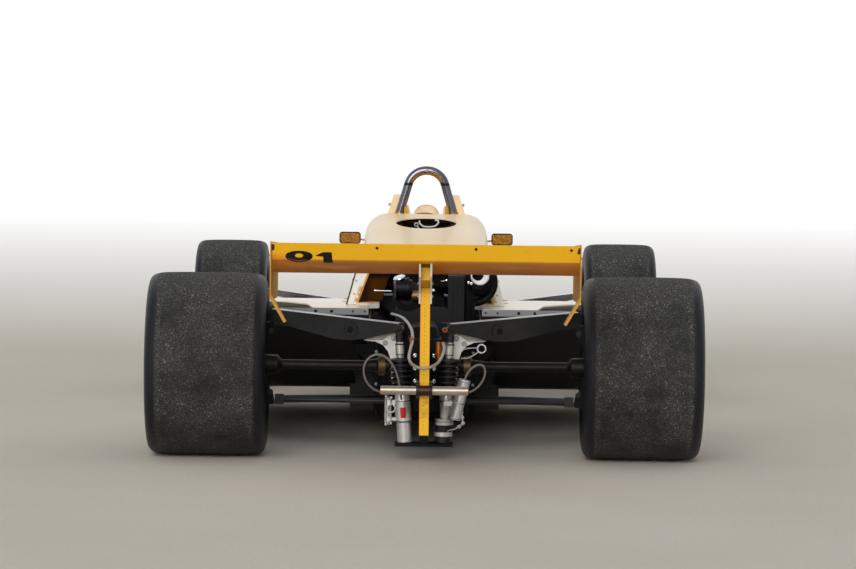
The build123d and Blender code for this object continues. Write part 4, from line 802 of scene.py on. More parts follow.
grip = Finish("wound hide", metallic=0.0)
from_hub = {0: grip.place, 1: (0.0, 0.470, 0.560)}
reach = grip.node("ShaderNodeVectorMath", {"operation": "DISTANCE"}, from_hub, out=1)
spoke = reach.under(0.1195, 0.1205)
windings = {"Vector": grip.place, "Scale": 70.0}
turns = grip.node("ShaderNodeTexWave", {"bands_direction": "DIAGONAL"}, windings, out=1)
grip.wear(
    base_color=grip.mix(spoke, grip.mix(turns, (24, 23, 23), (44, 42, 40)), (150, 150, 152)),
    roughness=0.55 - spoke * 0.22,
    metallic=spoke,
)
grip.raised(turns, 0.0004)
dress(grip, "steering_wheel")
COLUMN = Vector((0, math.cos(math.radians(18)), -math.sin(math.radians(18))))
HEAD = Vector((0, 0.470, 0.560))
wheel_up = Vector((0, -COLUMN.z, COLUMN.y)) * -1
hub_face = HEAD - COLUMN * 0.008
hub_parts = [turned([(0, 0.026), (0.004, 0.026), (0.010, 0.020), (0.012, 0.0003)], hub_face, -COLUMN, 32)]
for k in range(6):
    a = math.radians(60 * k)
    spot = hub_face + (Vector((1, 0, 0)) * math.cos(a) + wheel_up * math.sin(a)) * 0.0285
    hub_parts.append(bolt(spot, -COLUMN, 0.0028, 0.003))
shown("steering_boss", joined(hub_parts), steel, "steering_wheel")

board_skin = mottled("dial board", (160, 4), (20, 20, 21), (40, 40, 42), 0.5)
board_skin.raised(board_skin.cloud, 0.0003)
dial_skin = mottled("dial faces", (30, 2), (16, 16, 17), (28, 28, 30), 0.35)
board = [brick((-0.165, 0.586, 0.548), (0.165, 0.592, 0.628), 0.002)]
bezels, faces_of_dials, marks = [], [], []
for x, radius in ((-0.100, 0.026), (0.0, 0.034), (0.100, 0.026)):
    place = Vector((x, 0.5862, 0.588))
    bezel = [(0, radius), (0.006, radius), (0.008, radius - 0.002), (0.005, radius - 0.004)]
    bezels.append(turned(bezel, place, TO_REAR, 40))
    faces_of_dials.append(turned([(0.003, radius - 0.003), (0.003, 0.0003)], place, TO_REAR, 40))
    for k in range(11):
        a = math.radians(-120 + 24 * k)
        way = Vector((math.sin(a), 0, math.cos(a)))
        near, end = place + way * (radius - 0.0085), place + way * (radius - 0.005)
        marks.append(tube([near + Vector((0, -0.0034, 0)), end + Vector((0, -0.0034, 0))], 0.0005, 4, 0))
    needle = place + Vector((0, -0.0042, 0))
    marks.append(tube([needle, needle + Vector((-0.4, 0, 0.75)) * (radius - 0.012)], 0.0006, 4, 0))
shown("dial_board", joined(board), board_skin)
shown("dial_bezels", joined(bezels), steel)
shown("dial_faces", joined(faces_of_dials), dial_skin)
shown("dial_marks", joined(marks), white_hose)


# Engine and gearbox
# A cast block and gearbox bolted as one with the tub, in near black castings whose darkness is painted
# shade, mottled with soot. Behind the cover show a black drum, a black box, the wastegate's steel body,
# brass rings and the turbocharger's mouth, whose bright lip is a painted highlight.
casting = Finish("dark casting", metallic=0.5, specular_ior_level=0.25)
# Both tints are near black: painted shade, mottled as soot.
soot = casting.noise(12, 6, rough=0.6)
casting.wear(
    base_color=casting.mix(soot.over(0.3, 0.7), (28, 27, 27), (12, 11, 11)),
    roughness=0.45 + soot * 0.3,
)
casting.raised(casting.noise(190, 4), 0.0006)
dress(casting, "gearbox", "engine", "turbocharger")
dark_box = mottled("black box", (24, 5), (11, 11, 13), (24, 24, 27), 0.35, 0.3, specular_ior_level=0.25)
dress(dark_box, "engine_box")
polished = mottled("polished alloy", (30, 3), (232, 232, 234), (204, 204, 208), 0.12, 0.14, metallic=1.0)
# The mouth's near white, with little metal, is a painted highlight on its polished lip.
mouth_highlight_cast = mottled("mouth highlight", (80, 3), (254, 254, 255), (238, 238, 242), 0.25, 0.15)

TURBO = Vector((0.194, -0.912, 0.612))
MOUTH = TURBO + Vector((0.008, -0.066, 0.016))
mouth_line = [(-0.060, 0.033), (-0.010, 0.0330), (0.004, 0.0350), (0.012, 0.0330), (0.014, 0.0295)]
ROUND = 56
mouth, mouth_faces = turned(mouth_line, MOUTH, TO_REAR, ROUND)
row, n_mouth = len(mouth_line), len(mouth)
rim = [p - MOUTH - Vector((0, -0.014, 0)) for p in mouth[row - 1 :: row]]
bore = [MOUTH + Vector((-0.0075, -0.006, 0.004)) + p * 0.70 for p in rim]
dish = []
for k in range(ROUND):
    here, there = row * (k + 1) - 1, (row * (k + 2) - 1) % n_mouth
    dish.append((here, n_mouth + k, n_mouth + (k + 1) % ROUND, there))
shown("turbo_mouth", (mouth + bore, mouth_faces + dish), mouth_highlight_cast, crease=50)
# The throat is near black inside the bore: painted shade.
throat = [p + Vector((0, depth, 0)) for depth in (-0.0002, 0.05) for p in bore]
shown("turbo_throat", (throat, wrapped(ROUND, 2) + [tuple(range(ROUND, 2 * ROUND))]), soot_box)
shroud = [(-0.024, 0.060), (-0.020, 0.082), (0.000, 0.092), (0.012, 0.086), (0.014, 0.070), (0.004, 0.066)]
shroud_place = TURBO - Vector((0.014, 0, 0.012))
shown("turbo_shroud", turned(smoothed(shroud), shroud_place, TO_REAR, ROUND), casting)
DRUM = Vector((-0.067, -1.009, 0.556))
cap = [(0.030, 0.0553), (0.040, 0.0553), (0.044, 0.040), (0.040, 0.036)]
shown("drum_ring", turned(cap, DRUM, TO_REAR, 48), dark_box)
crown_cap = [(0, 0.030), (0.004, 0.040), (0.010, 0.042), (0.016, 0.038), (0.018, 0.020), (0.018, 0.0004)]
GATE = Vector((-0.118, -1.062, 0.583))
gate = [(0, 0.0003), (0, 0.026), (0.004, 0.031), (0.008, 0.0425), (0.014, 0.0430), (0.015, 0.0405)]
gate += [(0.048, 0.0405), (0.049, 0.0435), (0.056, 0.0435), (0.057, 0.036), (0.070, 0.034), (0.070, 0.0003)]
sooty = {"metallic": 0.7, "specular_ior_level": 0.3}
gate_skin = mottled("sooty steel", (34, 4), (34, 36, 42), (15, 15, 17), 0.28, 0.2, **sooty)
gate_skin.raised(gate_skin.noise(240, 2), 0.0002)
shown("wastegate", turned(gate, GATE, (1, 0, 0), 56), gate_skin)
small_cap = [(height * 0.5, radius * 0.55) for height, radius in crown_cap]
bright_bits = [turned(small_cap, (-0.096, -1.068, 0.6205), (-0.30, -0.30, 1), 32)]
ROD_END = (-0.186, -1.030, 0.573)
bright_bits.append(tube([(-0.126, -1.030, 0.572), ROD_END], 0.0022, 8, 0))
bright_bits.append(turned(collar(0.004, 0.0003, 0.005), ROD_END, (1, 0, 0), 12))
for x, z in ((0.1600, 0.6040), (0.1705, 0.6010)):
    bright_bits.append(bolt((x, -0.9995, z), TO_REAR, 0.0042, 0.008))
spigot = [(0.058, -1.030, 0.610), (0.070, -1.034, 0.611), (0.078, -1.034, 0.616)]
bright_bits.append(tube(spigot, 0.0024, 8, 1))
spigot_cap = [(0, 0.0042), (0.008, 0.0042), (0.009, 0.0003)]
bright_bits.append(turned(spigot_cap, (0.078, -1.030, 0.614), TO_REAR, 14))
bright_bits.append(bolt((0.0295, -1.055, 0.578), TO_REAR, 0.0040, 0.006))
for sign in (1, -1):
    for z in (0.280, 0.325, 0.372):
        bright_bits.append(bolt((sign * 0.034, -1.4902, z), TO_REAR, 0.0052, 0.006))
shown("engine_bright_fittings", joined(bright_bits), polished)
band = [(0, 0.0140), (0, 0.0185), (0.004, 0.0190), (0.005, 0.0172), (0.008, 0.0172), (0.009, 0.0190)]
band += [(0.013, 0.0190), (0.014, 0.0172), (0.018, 0.0172), (0.022, 0.0190), (0.026, 0.0185)]
band += [(0.026, 0.0140)]
brass = mottled("dull brass", (70, 4), (176, 142, 96), (96, 76, 50), 0.34, 0.2, metallic=0.8)
shown("brass_rings", turned(band, (-0.0500, -1.072, 0.5600), (1, 0, 0), 28), brass)
copper = mottled("copper fitting", (60, 4), (190, 116, 58), (122, 66, 34), 0.3, 0.2, metallic=0.9)
sensor_line = [(0, 0.0120), (0.012, 0.0125), (0.014, 0.0150), (0.022, 0.0150), (0.024, 0.0118)]
sensor_line += [(0.062, 0.0118), (0.066, 0.0095), (0.066, 0.0004)]
sensor = turned(sensor_line, (0.050, -1.560, 0.362), (0, 0, 1), 28)
copper_eye = turned(eyelet(0.0040, 0.0095, 0.008), (0.0700, -1.5860, 0.4730), (0.2, -1, 0.1), 24)
shown("copper_sensor", joined([sensor, copper_eye]), copper)
nuts = []
for sign in (1, -1):
    for z in (0.160, 0.220, 0.280, 0.340):
        nuts.append(bolt((sign * 0.1800, -0.9680, z), TO_REAR, 0.0042, 0.006))
    for i in range(7):
        nuts.append(bolt((sign * 0.2650, -0.330 - i * 0.088, 0.3970), (sign * 0.7, 0, 0.7), 0.0038, 0.005))
        nuts.append(bolt((sign * 0.2070, -0.330 - i * 0.088, 0.4550), (sign * 0.7, 0, 0.7), 0.0038, 0.005))
shown("case_nuts", joined(nuts), pin)


def primary_clamps(sign):
    """Clamps round the four exhaust primaries, where they leave the block."""
    ring, way = collar(0.004, 0.0162, 0.0205), (sign * 0.62, -0.26, -0.74)
    return [turned(ring, (sign * 0.213, -0.380 - i * 0.130, 0.301), way, 20) for i in range(4)]


shown("pipe_flanges", mirrored_both(primary_clamps), steel)


# Rear suspension
# Rockers and wishbones in satin black, cast uprights, dark shafts with brass coloured joint rings, and
# silver dampers with black springs, between machined plates bolted to the back of the gearbox. The rockers
# and the plates stand in for the CAD ones: a slimmer arm, and a plate with its pointed wing.
REAR_AXLE_Y, REAR_AXLE_Z = -1.435, 0.330
DAMPER_Y, DAMPER_FOOT_X, DAMPER_FOOT_Z, DAMPER_LEAN = -1.5455, 0.06798, 0.066, 0.06436
satin = Finish("satin black", roughness=0.4, specular_ior_level=0.3)
chafe = satin.noise(14, 5, rough=0.6)
smudge = satin.noise(5, 4).over(0.45, 0.75)
chafed = satin.mix(chafe.over(0.5, 0.8), (19, 19, 21), (38, 38, 41))
satin.wear(
    base_color=satin.mix(smudge * 0.5, chafed, (60, 59, 58)),
    roughness=0.3 + chafe * 0.25,
)
satin.raised(satin.noise(260, 2), 0.00015)
dress(satin, *pair("rear_wishbone"))
dress(casting, *pair("rear_upright"))

shaft = Finish("dark shaft", metallic=0.75)
out = abs(shaft.axis("X"))
ring_mask = out.within(0.1415, 0.1665)
from_axle = {0: shaft.stretched(0, 1, 1), 1: (0.0, REAR_AXLE_Y, REAR_AXLE_Z)}
beside_axle = shaft.node("ShaderNodeVectorMath", {"operation": "DISTANCE"}, from_axle, out=1)
disc_mask = out.within(0.678, 0.702) * beside_axle.over(0.060, 0.061)
oil = shaft.noise(26, 5)
dull = shaft.mix(oil, (40, 38, 36), (22, 21, 20))
dull = shaft.mix(ring_mask, dull, shaft.mix(oil, (118, 98, 62), (74, 60, 38)))
shaft.wear(
    base_color=shaft.mix(disc_mask, dull, (122, 120, 117)),
    roughness=0.35 + oil * 0.2,
)
dress(shaft, *pair("driveshaft"))


def damper_finish(name, sign):
    """Silver tubes, black coil and inner body, dark fork and knurled rings, by height along the damper."""
    coat = Finish(name)
    x, y, z = coat.axis("X"), coat.axis("Y"), coat.axis("Z")
    line_x = sign * (DAMPER_FOOT_X + (z - DAMPER_FOOT_Z) * DAMPER_LEAN)
    out_x, out_y = x - line_x, y - DAMPER_Y
    reach = (out_x * out_x + out_y * out_y) ** 0.5
    near = reach.under(0.0445, 0.046)
    coil = z.within(0.2440, 0.3685) * near
    fork = z.over(0.424, 0.426) * near
    knurl = (z.within(0.0640, 0.0880) + z.within(0.1040, 0.1290)) * near * (1 if sign > 0 else 0)
    seams = (z.within(0.1405, 0.1425) + z.within(0.3790, 0.3815) + z.within(0.4150, 0.4200)) * near
    black = (coil + fork + knurl + seams).capped()
    handled = coat.noise(30, 5)
    brushed = coat.noise(90, 3, coat.stretched(1, 1, 0.08))
    silver = coat.mix(handled, (236, 234, 230), (190, 187, 181))
    dark = coat.mix(handled, (20, 20, 21), (42, 41, 41))
    coat.wear(
        base_color=coat.mix(black, silver, dark),
        metallic=0.62 - black * 0.42,
        roughness=0.24 + brushed * 0.14 + black * 0.15,
    )
    return coat.raised(brushed, 0.00015)


dress(damper_finish("left damper", -1), "damper_left")
dress(damper_finish("right damper", 1), "damper_right")

PLATE_FACE = 1.5003
# The plates' near white is painted light, standing for their bright reflection.
plate_alloy = Finish("clamp plate", metallic=0.15)
scratch = plate_alloy.noise(70, 4, plate_alloy.stretched(0.3, 1, 1))
plate_alloy.wear(
    base_color=plate_alloy.mix(scratch, (252, 251, 248), (232, 230, 225)),
    roughness=0.34 + scratch * 0.2,
)
plate_alloy.raised(scratch, 0.0002)


def clamp_plate(sign):
    """Bracket with a pointed wing beneath the rocker and a tail beside the spring."""
    outline = [(0.084, 0.274), (0.088, 0.270), (0.112, 0.270), (0.118, 0.276), (0.1195, 0.335)]
    outline += [(0.1230, 0.362), (0.1320, 0.388), (0.1500, 0.4100), (0.1780, 0.4225), (0.2190, 0.4262)]
    outline += [(0.2205, 0.4285), (0.1800, 0.4430), (0.0900, 0.4610), (0.084, 0.4590)]
    return slab(sided(outline, sign), PLATE_FACE - 0.010, PLATE_FACE, flat_y, 0.0010)


for side, sign in (("left", -1), ("right", 1)):
    plate_piece = shown(f"clamp_plate_{side}", clamp_plate(sign), plate_alloy)
    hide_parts(f"gearbox_plate_{side}")


ROCKER_SWEEP = math.radians(13.4)
ROCKER_OUTER_X, PIVOT_Z, PIVOT_ALONG = 0.558, 0.466, 0.305


def rocker_place(sign, along, high, out):
    """A place on a rear rocker: along it from the outer joint, above its pivot, and towards the rear."""
    x = ROCKER_OUTER_X - along * math.cos(ROCKER_SWEEP) + out * math.sin(ROCKER_SWEEP)
    y = REAR_AXLE_Y - along * math.sin(ROCKER_SWEEP) - out * math.cos(ROCKER_SWEEP)
    return Vector((sign * x, y, PIVOT_Z + high))


def on_rocker(sign):
    """The places of one rocker, in the way that slab() asks for them."""

    def place(u, v, height):
        return rocker_place(sign, u, v, height)

    return place


def rocker_way(sign):
    return rocker_place(sign, 0, 0, 1) - rocker_place(sign, 0, 0, 0)


def rocker_arm(sign):
    """Folded box arm, forked at its inner end round the damper's eye, with a tube for its pivot."""
    way, place = -sign, on_rocker(sign)
    arm = [(0.008, 0.018), (0.020, 0.018), (0.225, -0.0320), (0.250, -0.0360), (0.280, -0.0378)]
    arm += [(0.315, -0.0375), (0.345, -0.0335), (0.440, -0.0120), (0.440, 0.0293), (0.022, 0.0642)]
    arm += [(0.012, 0.0645), (0.004, 0.0610), (0.0, 0.0540), (0.0, 0.0260), (0.002, 0.0205)]
    cheek = [(0.436, -0.0130), (0.478, -0.0035), (0.487, 0.0010), (0.492, 0.0080), (0.492, 0.0170)]
    cheek += [(0.486, 0.0245), (0.478, 0.0262), (0.436, 0.0297)]
    pivot_tube = [(-0.028, 0.0140), (-0.028, 0.0270), (0.0281, 0.0270)]
    forms = [slab(arm[::way], -0.023, 0.023, place, 0.0014)]
    forms += [slab(cheek[::way], low, low + 0.008, place, 0.0010) for low in (-0.023, 0.015)]
    forms.append(turned(pivot_tube, place(PIVOT_ALONG, 0, 0), rocker_way(sign), 48))
    return joined(forms)


def rocker_caps(sign):
    """Folded top sheet of the arm, painted bright grey as a painted highlight along its top edge."""
    strip = [(0.010, 0.0648), (0.480, 0.0256), (0.480, 0.0270), (0.010, 0.0662)]
    return [slab(strip[::-sign], -0.0236, 0.0236, on_rocker(sign), 0.0003)]


def rocker_bosses(sign):
    """Stepped cup in the end of the pivot's tube."""
    place, way = rocker_place(sign, PIVOT_ALONG, 0, 0.0280), rocker_way(sign)
    cup = [(0, 0.0270), (0.0022, 0.0262), (0.0022, 0.0215), (0.0005, 0.0205), (0.0005, 0.0120)]
    cup += [(0.0016, 0.0110), (0.0016, 0.0060), (-0.0010, 0.0050), (-0.0010, 0.0003)]
    return [turned(cup, place, way, 44)]


def rocker_seams(sign):
    """A weld across the arm's rear face and the heads of four rivets."""
    weld = [rocker_place(sign, 0.170, -0.027, 0.0232), rocker_place(sign, 0.166, 0.052, 0.0232)]
    beads = [tube(weld, 0.0011, 6, 0)]
    for along, high in ((0.110, 0.018), (0.470, 0.004), (0.040, 0.045), (0.018, 0.040)):
        beads.append(rivet(rocker_place(sign, along, high, 0.0230), rocker_way(sign), 0.0040))
    return beads


def lug_bolts(sign):
    return [bolt((sign * x, -PLATE_FACE, z), TO_REAR, r, 0.006) for x, z, r in PLATE_BOLTS]


def upright_bolts(sign):
    heads = [bolt((sign * 0.5560, -1.4595, z), TO_REAR, 0.008, 0.008) for z in (0.232, 0.452)]
    return heads + [bolt(rocker_place(sign, 0.477, 0.004, 0.0232), rocker_way(sign), 0.0062, 0.006)]


PLATE_BOLTS = ((0.1130, 0.4350, 0.0075), (0.1420, 0.4170, 0.0070), (0.0985, 0.2950, 0.0050))
top_edge_highlight = mottled("rocker top highlight", (18, 4), (206, 206, 210), (150, 150, 156), 0.3, 0.2, metallic=0.5)
for side, sign in (("left", -1), ("right", 1)):
    arm_piece = shown(f"rocker_arm_{side}", rocker_arm(sign), satin)
    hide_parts(f"rear_rocker_{side}")
shown("rocker_caps", mirrored_both(rocker_caps), top_edge_highlight)
shown("rocker_bosses", mirrored_both(rocker_bosses), satin)
shown("rocker_seams", mirrored_both(rocker_seams), satin)
shown("suspension_bolts", mirrored_both(lug_bolts), pin)
shown("upright_bolts", mirrored_both(upright_bolts), satin)


def plate_gusset(sign):
    """Folded flange that stands proud along the plate's upper edge."""
    outline = [(0.088, 0.4535), (0.100, 0.4520), (0.1320, 0.4430), (0.1510, 0.4270), (0.2195, 0.4270)]
    outline += [(0.1800, 0.4425), (0.090, 0.4605)]
    return [slab(sided(outline, sign), PLATE_FACE, PLATE_FACE + 0.004, flat_y, 0.0008)]


grey_alloy = mottled("grey alloy", (45, 5), (172, 168, 160), (128, 124, 117), 0.36, 0.2, metallic=0.6)
shown("plate_gussets", mirrored_both(plate_gusset), grey_alloy)

# The right plate also carries an eye on two short arms, and the left damper a red band on the rear of its
# foot.
eye = turned(eyelet(0.0125, 0.0172, 0.012), (0.2040, -1.5100, 0.4020), TO_REAR, 36)
ear_arm = tube([(0.132, -1.506, 0.366), (0.160, -1.508, 0.366), (0.192, -1.510, 0.389)], 0.0034, 10)
upper_arm = tube([(0.140, -1.506, 0.398), (0.165, -1.508, 0.404), (0.190, -1.510, 0.404)], 0.0030, 10)
shown("right_eye", joined([eye, ear_arm, upper_arm]), polished)

red = mottled("red anodising", (50, 4), (214, 44, 30), (150, 26, 20), 0.3, 0.2, metallic=0.6)
LEFT_FOOT, LEFT_TOP = Vector((-0.0680, DAMPER_Y, DAMPER_FOOT_Z)), Vector((-0.0940, DAMPER_Y, 0.470))
left_way = (LEFT_TOP - LEFT_FOOT).normalized()
RIGHT_FOOT, right_way = Vector((0.0680, DAMPER_Y, DAMPER_FOOT_Z)), Vector((0.0642, 0, 0.998))
sleeve = [(0.088, 0.0294), (0.088, 0.0302), (0.126, 0.0302), (0.126, 0.0294)]
patch, patch_faces = turned(sleeve, LEFT_FOOT, left_way, 48)
facing = [f for f in patch_faces if all(patch[i].y < DAMPER_Y and -0.088 < patch[i].x < -0.062 for i in f)]
shown("red_sleeve", (patch, facing), red)
fitting = [(0, 0.0062), (0.020, 0.0062), (0.024, 0.0085), (0.040, 0.0085), (0.044, 0.0060), (0.068, 0.0060)]
shown("red_hose_end", turned(fitting, (-0.0430, -1.8150, 0.4610), (-0.020, -0.235, -0.048), 20), red)

rings = []
for along, radius in ((0.072, 0.0262), (0.1480, 0.0295), (0.176, 0.0252)):
    bead = [(-0.0016, radius), (0, radius + 0.0018), (0.0016, radius)]
    rings.append(turned(bead, LEFT_FOOT + left_way * along, left_way, 40))
    rings.append(turned(bead, RIGHT_FOOT + right_way * along, right_way, 40))
tip = [(0, 0.0070), (-0.006, 0.0070), (-0.008, 0.0040), (-0.014, 0.0035), (-0.014, 0.0003)]
rings.append(turned(tip, (-0.0560, -1.5640, 0.0790), left_way, 16))
RESERVOIR_FOOT = Vector((0.108, -1.640, 0.158))
reservoir_way = (Vector((0.144, -1.640, 0.300)) - RESERVOIR_FOOT).normalized()
for along in (0.004, 0.060, 0.140):
    bead = [(-0.002, 0.0221), (0, 0.0238), (0.002, 0.0221)]
    rings.append(turned(bead, RESERVOIR_FOOT + reservoir_way * along, reservoir_way, 40))
shown("damper_rings", joined(rings), polished)

clamp_bits = []
for x, y, z, height in ((-0.1370, -1.5580, 0.1300, 0.100), (-0.1190, -1.5580, 0.1340, 0.092)):
    clamp_bits.append(tube([(x, y - 0.006, z), (x, y - 0.006, z + height)], 0.0030, 8, 0))
    for end in (z, z + height):
        clamp_bits.append(turned([(-0.004, 0.0052), (0.004, 0.0052)], (x, y - 0.006, end), (0, 0, 1), 6))
clamp_bits.append(turned(eyelet(0.0120, 0.0165, 0.010), (-0.1180, -1.5600, 0.1880), TO_REAR, 32))
for x, z in ((0.134, 0.180), (0.137, 0.160), (0.140, 0.140), (0.126, 0.128)):
    clamp_bits.append(bolt((x, -1.600, z), (0.2, -1, 0), 0.0046, 0.008))
drain = [(0.134, -1.600, 0.180), (0.137, -1.598, 0.160), (0.140, -1.596, 0.140), (0.116, -1.590, 0.120)]
clamp_bits.append(tube(drain + [(0.086, -1.575, 0.110)], 0.0036, 8, 1))
shown("clamp_fittings", joined(clamp_bits), polished)


# Front suspension
# The same work as at the rear, with bright plated upper arms that reach in to dampers inside the tub. The
# lower wishbones turn on bolts through lugs at the foot of the tub.
FRONT_AXLE_Y, FRONT_AXLE_Z = 1.285, 0.3125
dress(plate, *pair("front_rocker"))
dress(satin, *pair("front_wishbone"))
dress(casting, *pair("knuckle"))


def front_bolts(sign):
    heads = []
    for y in (FRONT_AXLE_Y - 0.190, FRONT_AXLE_Y + 0.150):
        heads.append(bolt((sign * 0.262, y - 0.0132, 0.150), TO_REAR, 0.006, 0.006))
    heads.append(bolt((sign * 0.215 * 1.22, 1.2678, 0.330), TO_REAR, 0.010, 0.008))
    return heads


shown("front_bolts", mirrored_both(front_bolts), polished)


# Wheels and tyres
# Magnesium wheels held by one hexagonal nut, drilled iron discs, and worn slicks whose treads are grey with
# picked up dust and rubber.
magnesium = mottled("magnesium", (18, 5), (150, 146, 138), (104, 100, 94), 0.4, 0.25, metallic=0.7)
magnesium.raised(magnesium.noise(240, 3), 0.0002)
dress(magnesium, *pair("wheel_front", "wheel_rear"))


BOLT_CIRCLE, HOLES_AROUND = 0.157, 30


def wheel_bolts(centre, web, sign):
    """Ring of rim bolts behind the lip, and a valve."""
    x, y, z = centre
    heads = []
    for k in range(18):
        a = math.radians(20 * k + 6)
        spot = (x + sign * web, y + BOLT_CIRCLE * math.cos(a), z + BOLT_CIRCLE * math.sin(a))
        heads.append(bolt(spot, (sign, 0, 0), 0.0042, 0.005))
    stem = [(0, 0.0040), (0.014, 0.0040), (0.015, 0.0048), (0.024, 0.0048), (0.025, 0.0003)]
    heads.append(turned(stem, (x + sign * (web + 0.004), y + 0.166, z), (sign, -0.35, 0), 14))
    return joined(heads)


def drilled(name, axle_y, axle_z):
    """Iron disc: turned rings, and three rings of drilled holes drawn as dark spots, painted shade in the
    holes.
    """
    iron = Finish(name, metallic=0.9)
    up, along = iron.axis("Z") - axle_z, iron.axis("Y") - axle_y
    reach = (up * up + along * along) ** 0.5
    around = up.maths("ARCTAN2", up, along) * (HOLES_AROUND / (2 * math.pi))
    holes = None
    for radius, shift in ((0.082, 0.0), (0.100, 0.33), (0.118, 0.66)):
        off = (around + shift).maths("FRACT", around + shift) - 0.5
        sideways = off * (2 * math.pi * radius / HOLES_AROUND)
        spot = ((reach - radius) ** 2 + sideways * sideways) ** 0.5
        dark = spot.under(0.0030, 0.0034)
        holes = dark if holes is None else holes + dark
    turnings = iron.node("ShaderNodeMath", {"operation": "SINE"}, {0: reach * 4200})
    heat = iron.noise(14, 4)
    swept = iron.mix(heat, (132, 128, 124), (92, 84, 78))
    iron.wear(base_color=iron.mix(holes, swept, (12, 12, 12)), roughness=0.3 + heat * 0.2 + holes * 0.4)
    return iron.raised(turnings * 0.1 - holes, 0.0004)


dress(drilled("front disc", FRONT_AXLE_Y, FRONT_AXLE_Z), *pair("brake_disc_front"))


def rubber(name, axle_y, axle_z, track, half):
    """Slick rubber: streaks round the tread, grained patches and pale dust, and smooth bluish shoulders."""
    slick = Finish(name, specular_ior_level=0.3)
    around = slick.axis("Z") - axle_z
    along = slick.axis("Y") - axle_y
    turn = around.maths("ARCTAN2", around, along)
    across = slick.axis("X")
    unrolled = slick.node("ShaderNodeCombineXYZ", {}, {"X": across * 3.2, "Y": turn * 1.1})
    fine = slick.node("ShaderNodeCombineXYZ", {}, {"X": across * 60, "Y": turn * 20})
    from_middle = abs(abs(across) - track)
    tread = from_middle.under(half * 0.78, half * 0.84)
    worn_edge = from_middle.within(half * 0.74, half * 0.80, 0.006)
    patch = (slick.noise(2.2, 7, unrolled, 0.7).over(0.32, 0.66) + worn_edge * 0.25) * tread
    drawn_out = slick.noise(3.0, 5, fine, 0.75).over(0.42, 0.66)
    grain = slick.noise(330, 3, rough=0.7).over(0.42, 0.62)
    crumb = slick.noise(150, 4, rough=0.7).over(0.58, 0.66)
    # The tread is also paler towards the top of the tyre.
    crown = slick.axis("Z").over(axle_z + 0.20, axle_z + 0.30)
    share = (patch + crown * tread * 0.9).capped()
    clean = slick.mix(tread, (14, 17, 24), (17, 17, 18))
    worn = slick.mix(share * grain, clean, (70, 70, 70))
    dusty = slick.mix(share * drawn_out * grain * 0.85, worn, (132, 130, 124))
    slick.wear(
        base_color=slick.mix(crumb * share * 0.6, dusty, (184, 180, 170)),
        roughness=0.42 + share * 0.3 + tread * 0.05,
    )
    return slick.raised(drawn_out * 0.5 + crumb * 0.6 + grain * 0.5, 0.0009)


AXLES = (
    # name, place along the car, half track, tyre radius, half width, half width of the rim, web's place
    ("front", FRONT_AXLE_Y, 0.821, FRONT_AXLE_Z, 0.152, 0.125, 0.046),
    ("rear", REAR_AXLE_Y, 0.782, REAR_AXLE_Z, 0.215, 0.181, 0.036),
)
for end, axle_y, track, radius, half, rim, web in AXLES:
    slick = rubber(f"{end} slick", axle_y, radius, track, half)
    tread_side = [(0, radius), (half * 0.55, radius - 0.0006), (half * 0.82, radius - 0.0032)]
    tread_side += [(half * 0.955, radius - 0.015), (half * 0.998, radius - 0.046)]
    tread_side += [(half, radius - 0.085), (half * 0.97, radius - 0.112)]
    tread_side += [(rim + 0.002, 0.207), (rim - 0.006, 0.2055), (rim - 0.008, 0.191)]
    cavity = [(rim - 0.024, 0.191), (rim - 0.024, 0.215), (half - 0.012, radius - 0.08)]
    cavity += [(half - 0.03, radius - 0.016), (0, radius - 0.014)]
    side_ring = [tuple(p) for p in smoothed(tread_side)] + cavity
    ring = side_ring + [(-x, r) for x, r in reversed(side_ring)]
    for side, sign in (("left", -1), ("right", 1)):
        form = turned(ring, (sign * track, axle_y, radius), (1, 0, 0), 168)
        tyre = shown(f"slick_{end}_{side}", form, slick, f"wheel_{end}_{side}")
        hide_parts(f"tyre_{end}_{side}")
        fixings = wheel_bolts((sign * track, axle_y, radius), web, sign)
        shown(f"rim_bolts_{end}_{side}", fixings, pin, f"wheel_{end}_{side}")


# Tunnels and radiators
# Black composite wings under the side pods, bolted to the tub, and a cored radiator with alloy tanks that
# stands in each pod.
composite = Finish("black composite", coat_weight=0.05, specular_ior_level=0.3)
tows = {"Vector": composite.place, "Scale": 260.0}
weave = composite.node("ShaderNodeTexChecker", {}, tows, out="Fac")
composite.wear(
    base_color=composite.mix(weave, (15, 15, 16), (26, 26, 28)),
    roughness=0.42 + weave * 0.1,
)
composite.raised(composite.noise(6, 3), 0.0006)
dress(composite, *pair("tunnel"))
core = Finish("radiator core", metallic=0.6)
fin_rows = {"Vector": core.place, "Scale": 160.0}
fins = core.node("ShaderNodeTexWave", {"bands_direction": "X"}, fin_rows, out="Fac")
core.wear(
    base_color=core.mix(fins, (40, 40, 42), (110, 110, 112)),
    roughness=0.5 + fins * 0.1,
)
dress(core, *pair("radiator"))


# Wings
# Folded and riveted alloy wings in yellow enamel, chipped at the corners, with a plain number on the rear
# one. Its underside is painted darker brown orange as painted shade, paler at its tips as painted light,
# with painted glints and a painted shadow between the post's lugs. Its end plates, in a duller tan that is
# painted shade, stand in for the CAD ones, whose upper edge is straight.
def enamel(name, bright, deep, gloss=0.12):
    """Baked enamel over sheet, in two tints with faint dirt. The rear wing's browner underside, painted
    shade, is added where that wing is finished.
    """
    coat = Finish(name, coat_weight=gloss, coat_roughness=0.1, specular_ior_level=0.3)
    cloud = coat.noise(3, 5).over(0.3, 0.8)
    grime = coat.noise(26, 6, rough=0.7).over(0.6, 0.82)
    return coat, coat.mix(grime * 0.35, coat.mix(cloud * 0.5, bright, deep), (120, 84, 34)), grime


